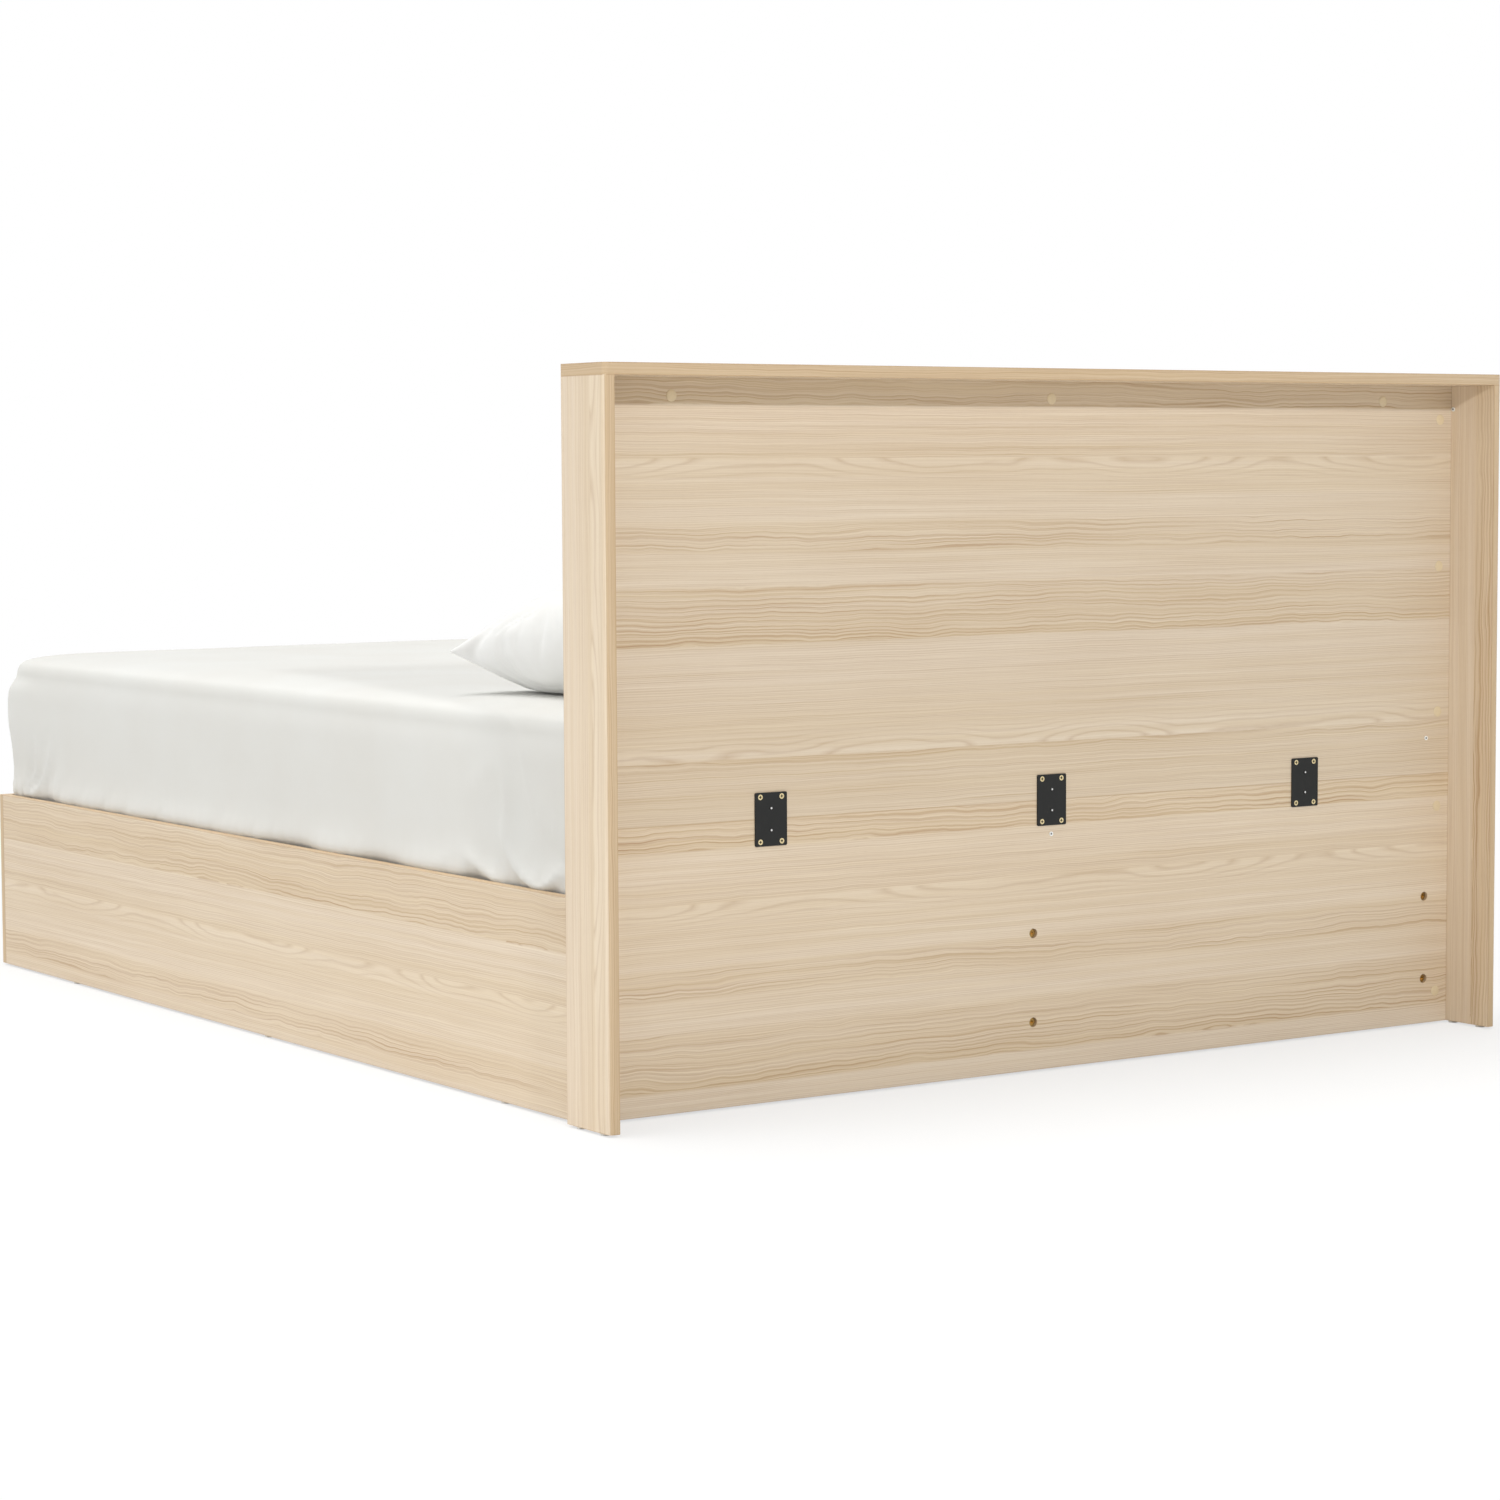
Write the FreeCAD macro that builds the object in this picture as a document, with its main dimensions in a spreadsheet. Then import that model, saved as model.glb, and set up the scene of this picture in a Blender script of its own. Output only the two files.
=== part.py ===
import FreeCAD, Part
import math
import os
import re
import Sketcher
from FreeCAD import Placement, Rotation, Vector

# A bed with two drawers in its far side, built of flat boards. +X is the near side with the plain
# rail, +Y is the head and +Z is up. The origin is on the floor under the middle of the bed.

doc = FreeCAD.newDocument("storage_bed")
sheet = doc.addObject("Spreadsheet::Sheet", "Sizes")

# Every size, in millimetres, unless its name says degrees or count
sizes = {
    # The whole bed, over the boards
    "bed_width": 1600,
    "bed_length": 2060,
    "bed_height": 1000,
    "board": 16,
    # Headboard
    "recess_depth": 90,
    "rear_round": 8,
    "lower_panel_top": 390,
    # Base
    "rail_inset": 17,
    "rail_height": 300,
    "foot_round": 3,
    # Nail-on glides under the boards
    "glide_height": 3,
    "glide_radius": 7,
    "glide_from_end": 24,
    # Slatted deck
    "deck_drop": 16,
    "slat_thickness": 14,
    "slat_width": 70,
    "slat_play": 1.5,
    "slat_count": 14,
    "ledge_width": 22,
    "ledge_height": 28,
    "tape_width": 20,
    "tape_thickness": 1,
    # Drawers
    "finger_gap": 20,
    "front_foot": 12,
    "front_play": 3,
    "drawer_board": 12,
    "drawer_rear_gap": 59,
    "drawer_low": 36,
    "drawer_top_gap": 36,
    "drawer_bottom": 5,
    "groove_depth": 5,
    "groove_play": 0.3,
    "brace_height": 12,
    "brace_width": 60,
    "drawer_fastener_inset": 36,
    # Telescopic drawer runners
    "runner_rear_gap": 48,
    "runner_height": 45,
    "runner_depth": 12.7,
    "runner_sheet": 1.5,
    "runner_play": 0.4,
    "runner_setback": 2,
    # Cam fittings of the headboard
    "cam_radius": 7.5,
    "cam_height": 11.5,
    "cam_sunk": 1,
    "cam_setback": 24,
    "cam_bolt_radius": 3,
    "cam_bolt_head": 4,
    "cam_bolt_bite": 10,
    "cam_from_edge": 51,
    "cam_upper_rise": 95,
    "cam_top_inset": 144,
    "cap_radius": 8,
    "cap_rim": 0.8,
    "cap_stem_radius": 6.5,
    # Wooden dowels
    "dowel_radius": 4,
    "dowel_long": 20,
    "dowel_short": 10,
    "dowel_offset": 32,
    "seam_dowel_inner": 250,
    "seam_dowel_inset": 84,
    "base_dowel_low": 40,
    "base_dowel_drop": 22,
    "small_dowel_radius": 3,
    "small_dowel_long": 16,
    "small_dowel_short": 8,
    # Steel plates over the seam of the headboard
    "plate_width": 52,
    "plate_height": 73,
    "plate_thickness": 2,
    "plate_round": 2,
    "plate_pitch": 485,
    "plate_screw_across": 35,
    "plate_screw_up": 61,
    "plate_screw_length": 14,
    "plate_pin_up": 30,
    "plate_pin_radius": 2.25,
    "plate_pin_shaft": 1.5,
    "plate_pin_proud": 0.8,
    "plate_pin_depth": 8,
    # Cross-head wood screws
    "screw_head_radius": 3.75,
    "screw_head_depth": 2,
    "screw_shaft_radius": 1.75,
    "screw_tip": 3,
    "cross_width": 0.8,
    "cross_reach": 2.3,
    "cross_depth": 1.1,
    "ledge_screw_length": 28,
    "drawer_screw_length": 36,
    # White push-in pins
    "white_pin_radius": 3.2,
    "white_pin_shaft": 2.4,
    "white_pin_proud": 1.2,
    "white_pin_depth": 8,
    "white_pin_slot": 0.9,
    "white_pin_inset": 48,
    "white_pin_above_seam": 55,
    "white_pin_below_seam": 49,
    "white_pin_below_top": 35,
    # Bolts that hold the headboard to the base
    "bolt_pocket_radius": 7,
    "bolt_pocket_depth": 8,
    "bolt_hole_radius": 3.5,
    "bolt_radius": 3,
    "bolt_head_radius": 6,
    "bolt_head_height": 4,
    "bolt_socket_width": 5,
    "bolt_socket_depth": 2.5,
    "bolt_reach": 12,
    "bolt_low": 72,
    "bolt_step": 128,
    "bolt_from_board": 32,
    "insert_radius": 5,
    "insert_length": 14,
    # Steel corner brackets inside the near half of the base
    "bracket_leg": 40,
    "bracket_height": 60,
    "bracket_steel": 2,
    "bracket_low": 90,
    "bracket_screw_out": 26,
    "bracket_screw_in": 15,
    "bracket_screw_length": 12,
    # Room around every drilled or seated piece, and the reach of each cut past its face
    "drill_play": 0.05,
    "seat_play": 0.3,
    "overrun": 1,
    # Mattress in its fitted sheet, with its room inside the rails and panels
    "mattress_side_gap": 7,
    "mattress_end_gap": 6,
    "mattress_height": 265,
    "mattress_side_swell": 3,
    "mattress_foot_swell": 14,
    "mattress_corner": 70,
    # Pillow
    "pillow_length": 680,
    "pillow_depth": 460,
    "pillow_thickness": 150,
    "pillow_edge": 8,
    "pillow_from_side": 78,
    "pillow_tilt_degrees": 7,
}
for number, (alias, value) in enumerate(sizes.items(), 1):
    sheet.set(f"A{number}", alias)
    sheet.set(f"B{number}", str(value))
    sheet.setAlias(f"B{number}", alias)
doc.recompute()

# Planes that several boards share
end_in = "(bed_width / 2 - board)"
rail_out = "(bed_width / 2 - rail_inset)"
rail_in = f"({rail_out} - board)"
rail_mid = f"({rail_out} - board / 2)"
rear = "(bed_length / 2)"
foot = "(-bed_length / 2)"
panel_rear = f"({rear} - recess_depth)"
panel_front = f"({panel_rear} - board)"
panel_mid = f"({panel_rear} - board / 2)"
base_front = f"({panel_front} - board)"
base_mid = f"({panel_front} - board / 2)"
foot_in = f"({foot} + board)"
top_under = "(bed_height - board)"
slat_top = "(rail_height - deck_drop)"
ledge_top = f"({slat_top} - slat_thickness)"
ledge_low = f"({ledge_top} - ledge_height)"
ledge_mid = f"({ledge_top} - ledge_height / 2)"
cross_mid = f"(({base_front} + {foot_in}) / 2)"
top_cam_side = f"({end_in} - cam_top_inset)"

ALONG = {
    "+x": Rotation(Vector(0, 1, 0), 90),
    "-x": Rotation(Vector(0, 1, 0), -90),
    "+y": Rotation(Vector(1, 0, 0), -90),
    "-y": Rotation(Vector(1, 0, 0), 90),
    "+z": Rotation(),
}
TO_REAR = ALONG["+y"]
nodes = {}
drills = {}


def bound(text):
    """The expression with each size read from the sheet."""

    def cell(word):
        name = word.group()
        return f"{sheet.Name}.{name}" if name in sizes else name

    return re.sub(r"[a-z_]+", cell, text)


def put(piece, x, y, z, turn=None):
    """Places a piece by expressions, turned first if a rotation is given."""
    if turn is not None:
        piece.Placement = Placement(Vector(), turn)
    for letter, text in zip("xyz", (x, y, z)):
        piece.setExpression(f"Placement.Base.{letter}", bound(text))
    return piece


def block(name, x, y, z):
    """A box between a low and a high expression on each axis."""
    piece = doc.addObject("Part::Box", name)
    for side, (low, high) in zip(("Length", "Width", "Height"), (x, y, z)):
        piece.setExpression(side, bound(f"({high}) - ({low})"))
    return put(piece, x[0], y[0], z[0])


def rod(name, radius, length, at=("0", "0", "0"), along="+z"):
    """A round bar from a point, along one axis."""
    piece = doc.addObject("Part::Cylinder", name)
    piece.setExpression("Radius", bound(radius))
    piece.setExpression("Height", bound(length))
    return put(piece, *at, ALONG[along])


def cone(name, low_radius, high_radius, low, high):
    """A cone along Z between two heights."""
    piece = doc.addObject("Part::Cone", name)
    piece.setExpression("Radius1", bound(low_radius))
    piece.setExpression("Radius2", bound(high_radius))
    piece.setExpression("Height", bound(f"({high}) - ({low})"))
    return put(piece, "0", "0", low)


def fused(name, *pieces):
    piece = doc.addObject("Part::MultiFuse", name)
    piece.Shapes = list(pieces)
    return piece


def less(name, base, *tools):
    """A base with tools cut out of it."""
    piece = doc.addObject("Part::Cut", name)
    piece.Base = base
    piece.Tool = tools[0] if len(tools) == 1 else fused(f"{name}_tools", *tools)
    return piece


def copies(name, form, spots, turns):
    """Linked copies of one form, each placed by expressions."""
    made = []
    for number, (spot, turn) in enumerate(zip(spots, turns)):
        copy = doc.addObject("App::Link", f"{name}_copy_{number}")
        copy.LinkedObject = form
        copy.LinkTransform = True
        made.append(put(copy, *spot, turn))
    return made


def bundle(name, pieces):
    """Several separate solids held together."""
    piece = doc.addObject("Part::Compound", name)
    piece.Links = pieces
    return piece


def drill(tool, *boards):
    """Notes that a tool is to be cut out of these boards."""
    for board in boards:
        drills.setdefault(board, []).append(tool)


def finish(name, blank):
    """Makes a piece a node, with its noted holes cut."""
    nodes[name] = less(name, blank, *drills[name]) if name in drills else blank


def rounded_board(name, x, y, z, radius, corners):
    """A padded rectangle with chosen upright edges rounded. A corner is a pair of 0 or 1."""
    body = doc.addObject("PartDesign::Body", name)
    sketch = body.newObject("Sketcher::SketchObject", f"{name}_outline")
    plane = next(part for part in body.Origin.OriginFeatures if part.Role == "XY_Plane")
    sketch.AttachmentSupport = (plane, [""])
    sketch.MapMode = "FlatFace"
    ring = [Vector(0, 0), Vector(1, 0), Vector(1, 1), Vector(0, 1)]
    ring = [point * sizes["board"] for point in ring]
    for number, start in enumerate(ring):
        sketch.addGeometry(Part.LineSegment(start, ring[(number + 1) % 4]))
    for number in range(4):
        following = (number + 1) % 4
        sketch.addConstraint(Sketcher.Constraint("Coincident", number, 2, following, 1))
        kind = "Vertical" if number % 2 else "Horizontal"
        sketch.addConstraint(Sketcher.Constraint(kind, number))
    sketch.addConstraint(Sketcher.Constraint("Coincident", 0, 1, -1, 1))
    for number, (low, high) in enumerate((x, y)):
        length = Sketcher.Constraint("Distance", number, sizes["board"])
        index = sketch.addConstraint(length)
        sketch.setExpression(f"Constraints[{index}]", bound(f"({high}) - ({low})"))
    pad = body.newObject("PartDesign::Pad", f"{name}_pad")
    pad.Profile = sketch
    pad.setExpression("Length", bound(f"({z[1]}) - ({z[0]})"))
    put(body, x[0], y[0], z[0])
    doc.recompute()
    middle = pad.Shape.CenterOfMass
    upright = []
    for number, edge in enumerate(pad.Shape.Edges, 1):
        centre = edge.CenterOfMass
        side = (int(centre.x > middle.x), int(centre.y > middle.y))
        if edge.Curve.Direction.cross(Vector(0, 0, 1)).Length < 0.5 and side in corners:
            upright.append(f"Edge{number}")
    fillet = body.newObject("PartDesign::Fillet", f"{name}_round")
    fillet.Base = (pad, upright)
    fillet.setExpression("Radius", bound(radius))
    body.Tip = fillet
    return body


# Forms of the fasteners. Each is made once, with its head facing +Z and its shaft along -Z.


def cross_recess(name):
    """The tool for a cross-head recess."""
    tall = ("-cross_depth", "overrun")
    long = ("-cross_reach", "cross_reach")
    thin = ("-cross_width / 2", "cross_width / 2")
    return fused(name, block(f"{name}_a", long, thin, tall), block(f"{name}_b", thin, long, tall))


def countersunk(name, length):
    """A countersunk screw and the tool that drills its hole."""
    reach = f"({length})"
    tip = f"({length} - screw_tip)"
    shaft = rod(f"{name}_shaft", "screw_shaft_radius", tip, ("0", "0", f"-{tip}"))
    point = cone(f"{name}_point", "cross_width / 2", "screw_shaft_radius", f"-{reach}", f"-{tip}")
    head = cone(f"{name}_head", "screw_shaft_radius", "screw_head_radius", "-screw_head_depth", "0")
    solid = fused(f"{name}_solid", shaft, point, head)
    form = less(f"{name}_form", solid, cross_recess(f"{name}_cross"))
    radii = ("screw_shaft_radius + drill_play", "screw_head_radius + drill_play")
    hole = rod(f"{name}_hole", radii[0], f"{reach} + drill_play", ("0", "0", f"-{reach} - drill_play"))
    sink = cone(f"{name}_sink", *radii, "-screw_head_depth", "0")
    return form, fused(f"{name}_drill", hole, sink)


def pin(name, radius, shaft, proud, depth, slot=None):
    """A headed pin, its head standing proud, and the tool that drills its hole."""
    head = rod(f"{name}_head", radius, proud)
    stem = rod(f"{name}_stem", shaft, depth, ("0", "0", f"-{depth}"))
    form = fused(f"{name}_solid", head, stem)
    if slot:
        room = (f"{proud} / 2", f"{proud} + overrun")
        groove = block(f"{name}_slot", (f"-{radius}", radius), (f"-{slot} / 2", f"{slot} / 2"), room)
        form = less(f"{name}_form", form, groove)
    start = ("0", "0", f"-{depth} - drill_play")
    return form, rod(f"{name}_drill", f"{shaft} + drill_play", f"{depth} + drill_play", start)


# Cam locks lie in round pockets in the rear face of the panels. A bolt from the neighbouring board
# runs through the panel's edge into each one, and a wood-coloured cap covers it.

lock_solid = rod("lock_solid", "cam_radius", "cam_height", ("0", "0", "-cam_height - cam_sunk"))
into_edge = ("0", "0", "-board / 2")
lock_bore = rod("lock_bore", "cam_bolt_head + drill_play", "cam_radius + overrun", into_edge, "+x")
slot_long = ("-cam_radius / 2", "cam_radius / 2")
slot_deep = ("-cam_sunk - cross_depth", "0")
lock_slot = block("lock_slot", slot_long, ("-cross_width", "cross_width"), slot_deep)
lock_form = less("lock_form", lock_solid, lock_bore, lock_slot)

cam_bolt_end = "(cam_setback + cam_bolt_bite)"
shaft_start = ("cam_bolt_head", "0", "-board / 2")
knob_start = ("drill_play", "0", "-board / 2")
cam_shaft = rod("cam_shaft", "cam_bolt_radius", f"{cam_bolt_end} - cam_bolt_head", shaft_start, "+x")
cam_neck = rod("cam_neck", "cam_bolt_radius / 2", "cam_bolt_head", knob_start, "+x")
cam_knob = rod("cam_knob", "cam_bolt_head - drill_play", "cam_bolt_head / 2", knob_start, "+x")
cam_bolt_form = fused("cam_bolt_form", cam_shaft, cam_neck, cam_knob)

cap_disc = rod("cap_disc", "cap_radius", "cap_rim")
cap_stem = rod("cap_stem", "cap_stem_radius", "cam_sunk - drill_play", ("0", "0", "drill_play - cam_sunk"))
cap_form = fused("cap_form", cap_disc, cap_stem)

pocket_floor = "(cam_sunk + cam_height + drill_play)"
pocket_start = ("0", "0", f"-{pocket_floor}")
cam_pocket = rod("cam_pocket", "cam_radius + drill_play", f"{pocket_floor} + overrun", pocket_start)
cam_bore = rod("cam_bore", "cam_bolt_radius + drill_play", f"{cam_bolt_end} + drill_play", into_edge, "+x")
cam_drill = fused("cam_drill", cam_pocket, cam_bore)

CAM_TURNS = {
    "near": TO_REAR,
    "far": Rotation(Vector(0, 1, 0), 180) * TO_REAR,
    "up": Rotation(Vector(0, 1, 0), -90) * TO_REAR,
}
upper_low = "(lower_panel_top + cam_upper_rise)"
upper_high = f"({top_under} - cam_from_edge)"
cam_heights = {
    "headboard_lower_panel": ["cam_from_edge", "(lower_panel_top - cam_from_edge)"],
    "headboard_upper_panel": [upper_low, f"(({upper_low} + {upper_high}) / 2)", upper_high],
}
cams = []
for side, sign in (("near", ""), ("far", "-")):
    for panel, heights in cam_heights.items():
        for z in heights:
            spot = (f"{sign}({end_in} - cam_setback)", panel_rear, z)
            cams.append((spot, side, panel, f"headboard_end_{side}"))
for x in (f"-{top_cam_side}", "0", top_cam_side):
    spot = (x, panel_rear, f"{top_under} - cam_setback")
    cams.append((spot, "up", "headboard_upper_panel", "headboard_top_board"))
cam_spots = [spot for spot, _, _, _ in cams]
cam_turns = [CAM_TURNS[way] for _, way, _, _ in cams]
for name, form in (("cam_locks", lock_form), ("cam_bolts", cam_bolt_form), ("cam_cover_caps", cap_form)):
    finish(name, bundle(name, copies(name, form, cam_spots, cam_turns)))
for tool, (_, _, panel, board) in zip(copies("cam_drills", cam_drill, cam_spots, cam_turns), cams):
    drill(tool, panel, board)

# Dowels. The short end of each goes into the face of one board, the long end into another's edge.

SHORT_END = {
    "+x": Rotation(),
    "-x": Rotation(Vector(0, 0, 1), 180),
    "+y": Rotation(Vector(0, 0, 1), 90),
    "-y": Rotation(Vector(0, 0, 1), -90),
    "+z": Rotation(Vector(0, 1, 0), -90),
}


def dowels(name, radius, long_end, short_end, places):
    """A node of dowels. Each place is a point, the way of the short end and two boards."""
    whole = f"{long_end} + {short_end}"
    form = rod(f"{name}_form", radius, whole, (f"-{long_end}", "0", "0"), "+x")
    start = (f"-{long_end} - drill_play", "0", "0")
    tool = rod(f"{name}_drill", f"{radius} + drill_play", f"{whole} + 2 * drill_play", start, "+x")
    spots = [spot for spot, _, _, _ in places]
    turns = [SHORT_END[way] for _, way, _, _ in places]
    finish(name, bundle(name, copies(name, form, spots, turns)))
    for hole, (_, _, one, two) in zip(copies(f"{name}_holes", tool, spots, turns), places):
        drill(hole, one, two)


places = []
for way, sign, end in (("+x", "", "headboard_end_near"), ("-x", "-", "headboard_end_far")):
    for panel, heights in cam_heights.items():
        for z in (f"{heights[0]} + dowel_offset", f"{heights[-1]} - dowel_offset"):
            places.append(((f"{sign}{end_in}", panel_mid, z), way, panel, end))
for x in (f"dowel_offset - {top_cam_side}", "dowel_offset", f"{top_cam_side} - dowel_offset"):
    places.append(((x, panel_mid, top_under), "+z", "headboard_upper_panel", "headboard_top_board"))
seam_outer = f"({end_in} - seam_dowel_inset)"
for x in (seam_outer, "seam_dowel_inner", "-seam_dowel_inner", f"-{seam_outer}"):
    spot = (x, panel_mid, "lower_panel_top")
    places.append((spot, "+z", "headboard_lower_panel", "headboard_upper_panel"))
dowels("headboard_dowels", "dowel_radius", "dowel_long", "dowel_short", places)

places = []
base_dowel_high = f"({ledge_low} - base_dowel_drop)"
base_dowel_step = f"(({base_dowel_high} - base_dowel_low) / 3)"
for z in ("base_dowel_low", base_dowel_high):
    places.append(((rail_in, base_mid, z), "+x", "side_rail", "base_head_panel"))
    places.append(((rail_mid, foot_in, z), "-y", "side_rail", "foot_panel"))
    places.append((("0", base_front, z), "+y", "centre_partition", "base_head_panel"))
    places.append((("0", foot_in, z), "-y", "centre_partition", "foot_panel"))
    places.append((("-board / 2", cross_mid, f"{z} - dowel_short"), "+x", "drawer_gable", "centre_partition"))
for z in (f"base_dowel_low + {base_dowel_step}", f"{base_dowel_high} - {base_dowel_step}"):
    places.append(((rail_in, cross_mid, z), "+x", "side_rail", "near_cross_board"))
    places.append((("board / 2", cross_mid, z), "-x", "near_cross_board", "centre_partition"))
top_rail_dowel = f"({ledge_top} - board)"
places.append(((f"-{rail_mid}", foot_in, top_rail_dowel), "-y", "drawer_top_rail", "foot_panel"))
places.append(((f"-{rail_in}", base_mid, top_rail_dowel), "-x", "base_head_panel", "drawer_top_rail"))
dowels("base_dowels", "dowel_radius", "dowel_long", "dowel_short", places)

# Three steel plates cross the seam between the two headboard panels, each with four cross-head
# screws and two small bright pins.

screw_form, screw_drill = countersunk("plate_screw", "plate_screw_length")
pin_sizes = ("plate_pin_radius", "plate_pin_shaft", "plate_pin_proud", "plate_pin_depth")
pin_form, pin_drill = pin("plate_pin", *pin_sizes)
screw_spots = []
for x in ("-plate_screw_across / 2", "plate_screw_across / 2"):
    for y in ("-plate_screw_up / 2", "plate_screw_up / 2"):
        screw_spots.append((x, y, "plate_thickness"))
pin_spots = [("0", y, "plate_thickness") for y in ("-plate_pin_up / 2", "plate_pin_up / 2")]
upright = [Rotation()] * len(screw_spots)
screw_set = bundle("plate_screw_set", copies("plate_screw_set", screw_form, screw_spots, upright))
pin_set = bundle("plate_pin_set", copies("plate_pin_set", pin_form, pin_spots, upright))
screw_holes = copies("plate_screw_holes", screw_drill, screw_spots, upright)
plate_drill = fused("plate_drill", *screw_holes, *copies("plate_pin_holes", pin_drill, pin_spots, upright))
wide = ("-plate_width / 2", "plate_width / 2")
tall = ("-plate_height / 2", "plate_height / 2")
every_corner = [(0, 0), (1, 0), (1, 1), (0, 1)]
plate_blank = rounded_board("plate_blank", wide, tall, ("0", "plate_thickness"), "plate_round", every_corner)
plate_form = less("plate_form", plate_blank, plate_drill)
plate_spots = [(x, panel_rear, "lower_panel_top") for x in ("plate_pitch", "0", "-plate_pitch")]
plate_turns = [TO_REAR] * len(plate_spots)
for name, form in (("joining_plates", plate_form), ("plate_screws", screw_set), ("plate_pins", pin_set)):
    finish(name, bundle(name, copies(name, form, plate_spots, plate_turns)))
for tool in copies("plate_drills", plate_drill, plate_spots, plate_turns):
    drill(tool, "headboard_lower_panel", "headboard_upper_panel")

# White plastic pins pushed into the panels and, beside the upper panel, into both end boards
pin_sizes = ("white_pin_radius", "white_pin_shaft", "white_pin_proud", "white_pin_depth")
white_form, white_drill = pin("white_pin", *pin_sizes, slot="white_pin_slot")
beside_panel = f"({panel_rear} + white_pin_radius + overrun)"
pin_side = f"({end_in} - white_pin_inset)"
pin_high = "lower_panel_top + white_pin_above_seam"
pin_low = "lower_panel_top - white_pin_below_seam"
pin_top = f"{top_under} - white_pin_below_top"
white_pins = [
    ((pin_side, panel_rear, pin_high), "+y", "headboard_upper_panel"),
    ((f"-{pin_side}", panel_rear, pin_high), "+y", "headboard_upper_panel"),
    (("0", panel_rear, pin_low), "+y", "headboard_lower_panel"),
    ((end_in, beside_panel, pin_top), "-x", "headboard_end_near"),
    ((f"-{end_in}", beside_panel, pin_top), "+x", "headboard_end_far"),
]
white_spots = [spot for spot, _, _ in white_pins]
white_turns = [ALONG[way] for _, way, _ in white_pins]
white_set = copies("white_panel_pins", white_form, white_spots, white_turns)
finish("white_panel_pins", bundle("white_panel_pins", white_set))
for tool, (_, _, board) in zip(copies("white_holes", white_drill, white_spots, white_turns), white_pins):
    drill(tool, board)

# Six socket bolts, sunk in pockets in the rear of the lower panel, pull it against the base. Each
# goes into a brass insert in the board behind.

head_seat = ("0", "0", "-bolt_pocket_depth")
bolt_tip = ("0", "0", "-board - bolt_reach")
insert_end = ("0", "0", "-board - insert_length")
insert_floor = ("0", "0", "-board - insert_length - drill_play")
bolt_head = rod("bolt_head", "bolt_head_radius", "bolt_head_height", head_seat)
bolt_shaft = rod("bolt_shaft", "bolt_radius", "board + bolt_reach - bolt_pocket_depth", bolt_tip)
bolt_socket = doc.addObject("Part::Prism", "bolt_socket")
bolt_socket.Polygon = 6
bolt_socket.setExpression("Circumradius", bound("bolt_socket_width / sqrt(3)"))
bolt_socket.setExpression("Height", bound("bolt_socket_depth + overrun"))
put(bolt_socket, "0", "0", "bolt_head_height - bolt_pocket_depth - bolt_socket_depth")
bed_bolt_form = less("bed_bolt_form", fused("bed_bolt_solid", bolt_head, bolt_shaft), bolt_socket)
bolt_pocket = rod("bolt_pocket", "bolt_pocket_radius", "bolt_pocket_depth + overrun", head_seat)
bolt_hole = rod("bolt_hole", "bolt_hole_radius", "board + overrun", ("0", "0", "-board - overrun"))
panel_drill = fused("bolt_panel_drill", bolt_pocket, bolt_hole)
insert_body = rod("insert_body", "insert_radius", "insert_length", insert_end)
insert_bore = rod("insert_bore", "bolt_radius + drill_play", "insert_length + overrun", insert_end)
insert_form = less("insert_form", insert_body, insert_bore)
insert_hole = "insert_length + drill_play + overrun"
insert_drill = rod("insert_drill", "insert_radius + drill_play", insert_hole, insert_floor)
bolt_spots = []
for x in (f"{rail_in} - bolt_from_board", "bolt_from_board", f"bolt_from_board - {rail_in}"):
    for z in ("bolt_low", "bolt_low + bolt_step"):
        bolt_spots.append((x, panel_rear, z))
bolt_turns = [TO_REAR] * len(bolt_spots)
for name, form in (("bed_bolts", bed_bolt_form), ("bolt_inserts", insert_form)):
    finish(name, bundle(name, copies(name, form, bolt_spots, bolt_turns)))
for tool in copies("bolt_panel_holes", panel_drill, bolt_spots, bolt_turns):
    drill(tool, "headboard_lower_panel")
for tool in copies("insert_holes", insert_drill, bolt_spots, bolt_turns):
    drill(tool, "base_head_panel")

# Four angle brackets with round-headed screws stiffen the corners of the near half of the base.

leg, steel, full = (("0", size) for size in ("bracket_leg", "bracket_steel", "bracket_height"))
bracket_legs = [block("bracket_x", leg, steel, full), block("bracket_y", steel, leg, full)]
bracket_solid = fused("bracket_solid", *bracket_legs)
pin_sizes = ("screw_head_radius", "screw_shaft_radius", "screw_head_depth", "bracket_screw_length")
bracket_screw, bracket_hole = pin("bracket_screw", *pin_sizes, slot="cross_width")
spots, turns = [], []
for z in ("bracket_screw_in", "bracket_height - bracket_screw_in"):
    spots += [("bracket_screw_out", "bracket_steel", z), ("bracket_steel", "bracket_screw_out", z)]
    turns += [ALONG["+y"], ALONG["+x"]]
bracket_screws = bundle("bracket_screw_set", copies("bracket_screw_set", bracket_screw, spots, turns))
bracket_drill = fused("bracket_drill", *copies("bracket_holes", bracket_hole, spots, turns))
bracket_form = less("bracket_form", bracket_solid, bracket_drill)
corners = [
    ((rail_in, foot_in, "bracket_low"), 90, "side_rail", "foot_panel"),
    ((rail_in, base_front, "bracket_low"), 180, "side_rail", "base_head_panel"),
    (("board / 2", base_front, "bracket_low"), -90, "centre_partition", "base_head_panel"),
    (("board / 2", foot_in, "bracket_low"), 0, "centre_partition", "foot_panel"),
]
spots = [spot for spot, _, _, _ in corners]
turns = [Rotation(Vector(0, 0, 1), angle) for _, angle, _, _ in corners]
for name, form in (("corner_brackets", bracket_form), ("bracket_screws", bracket_screws)):
    finish(name, bundle(name, copies(name, form, spots, turns)))
for tool, (_, _, one, two) in zip(copies("bracket_drills", bracket_drill, spots, turns), corners):
    drill(tool, one, two)

# Ledges screwed along the boards carry the ends of the slats.

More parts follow.
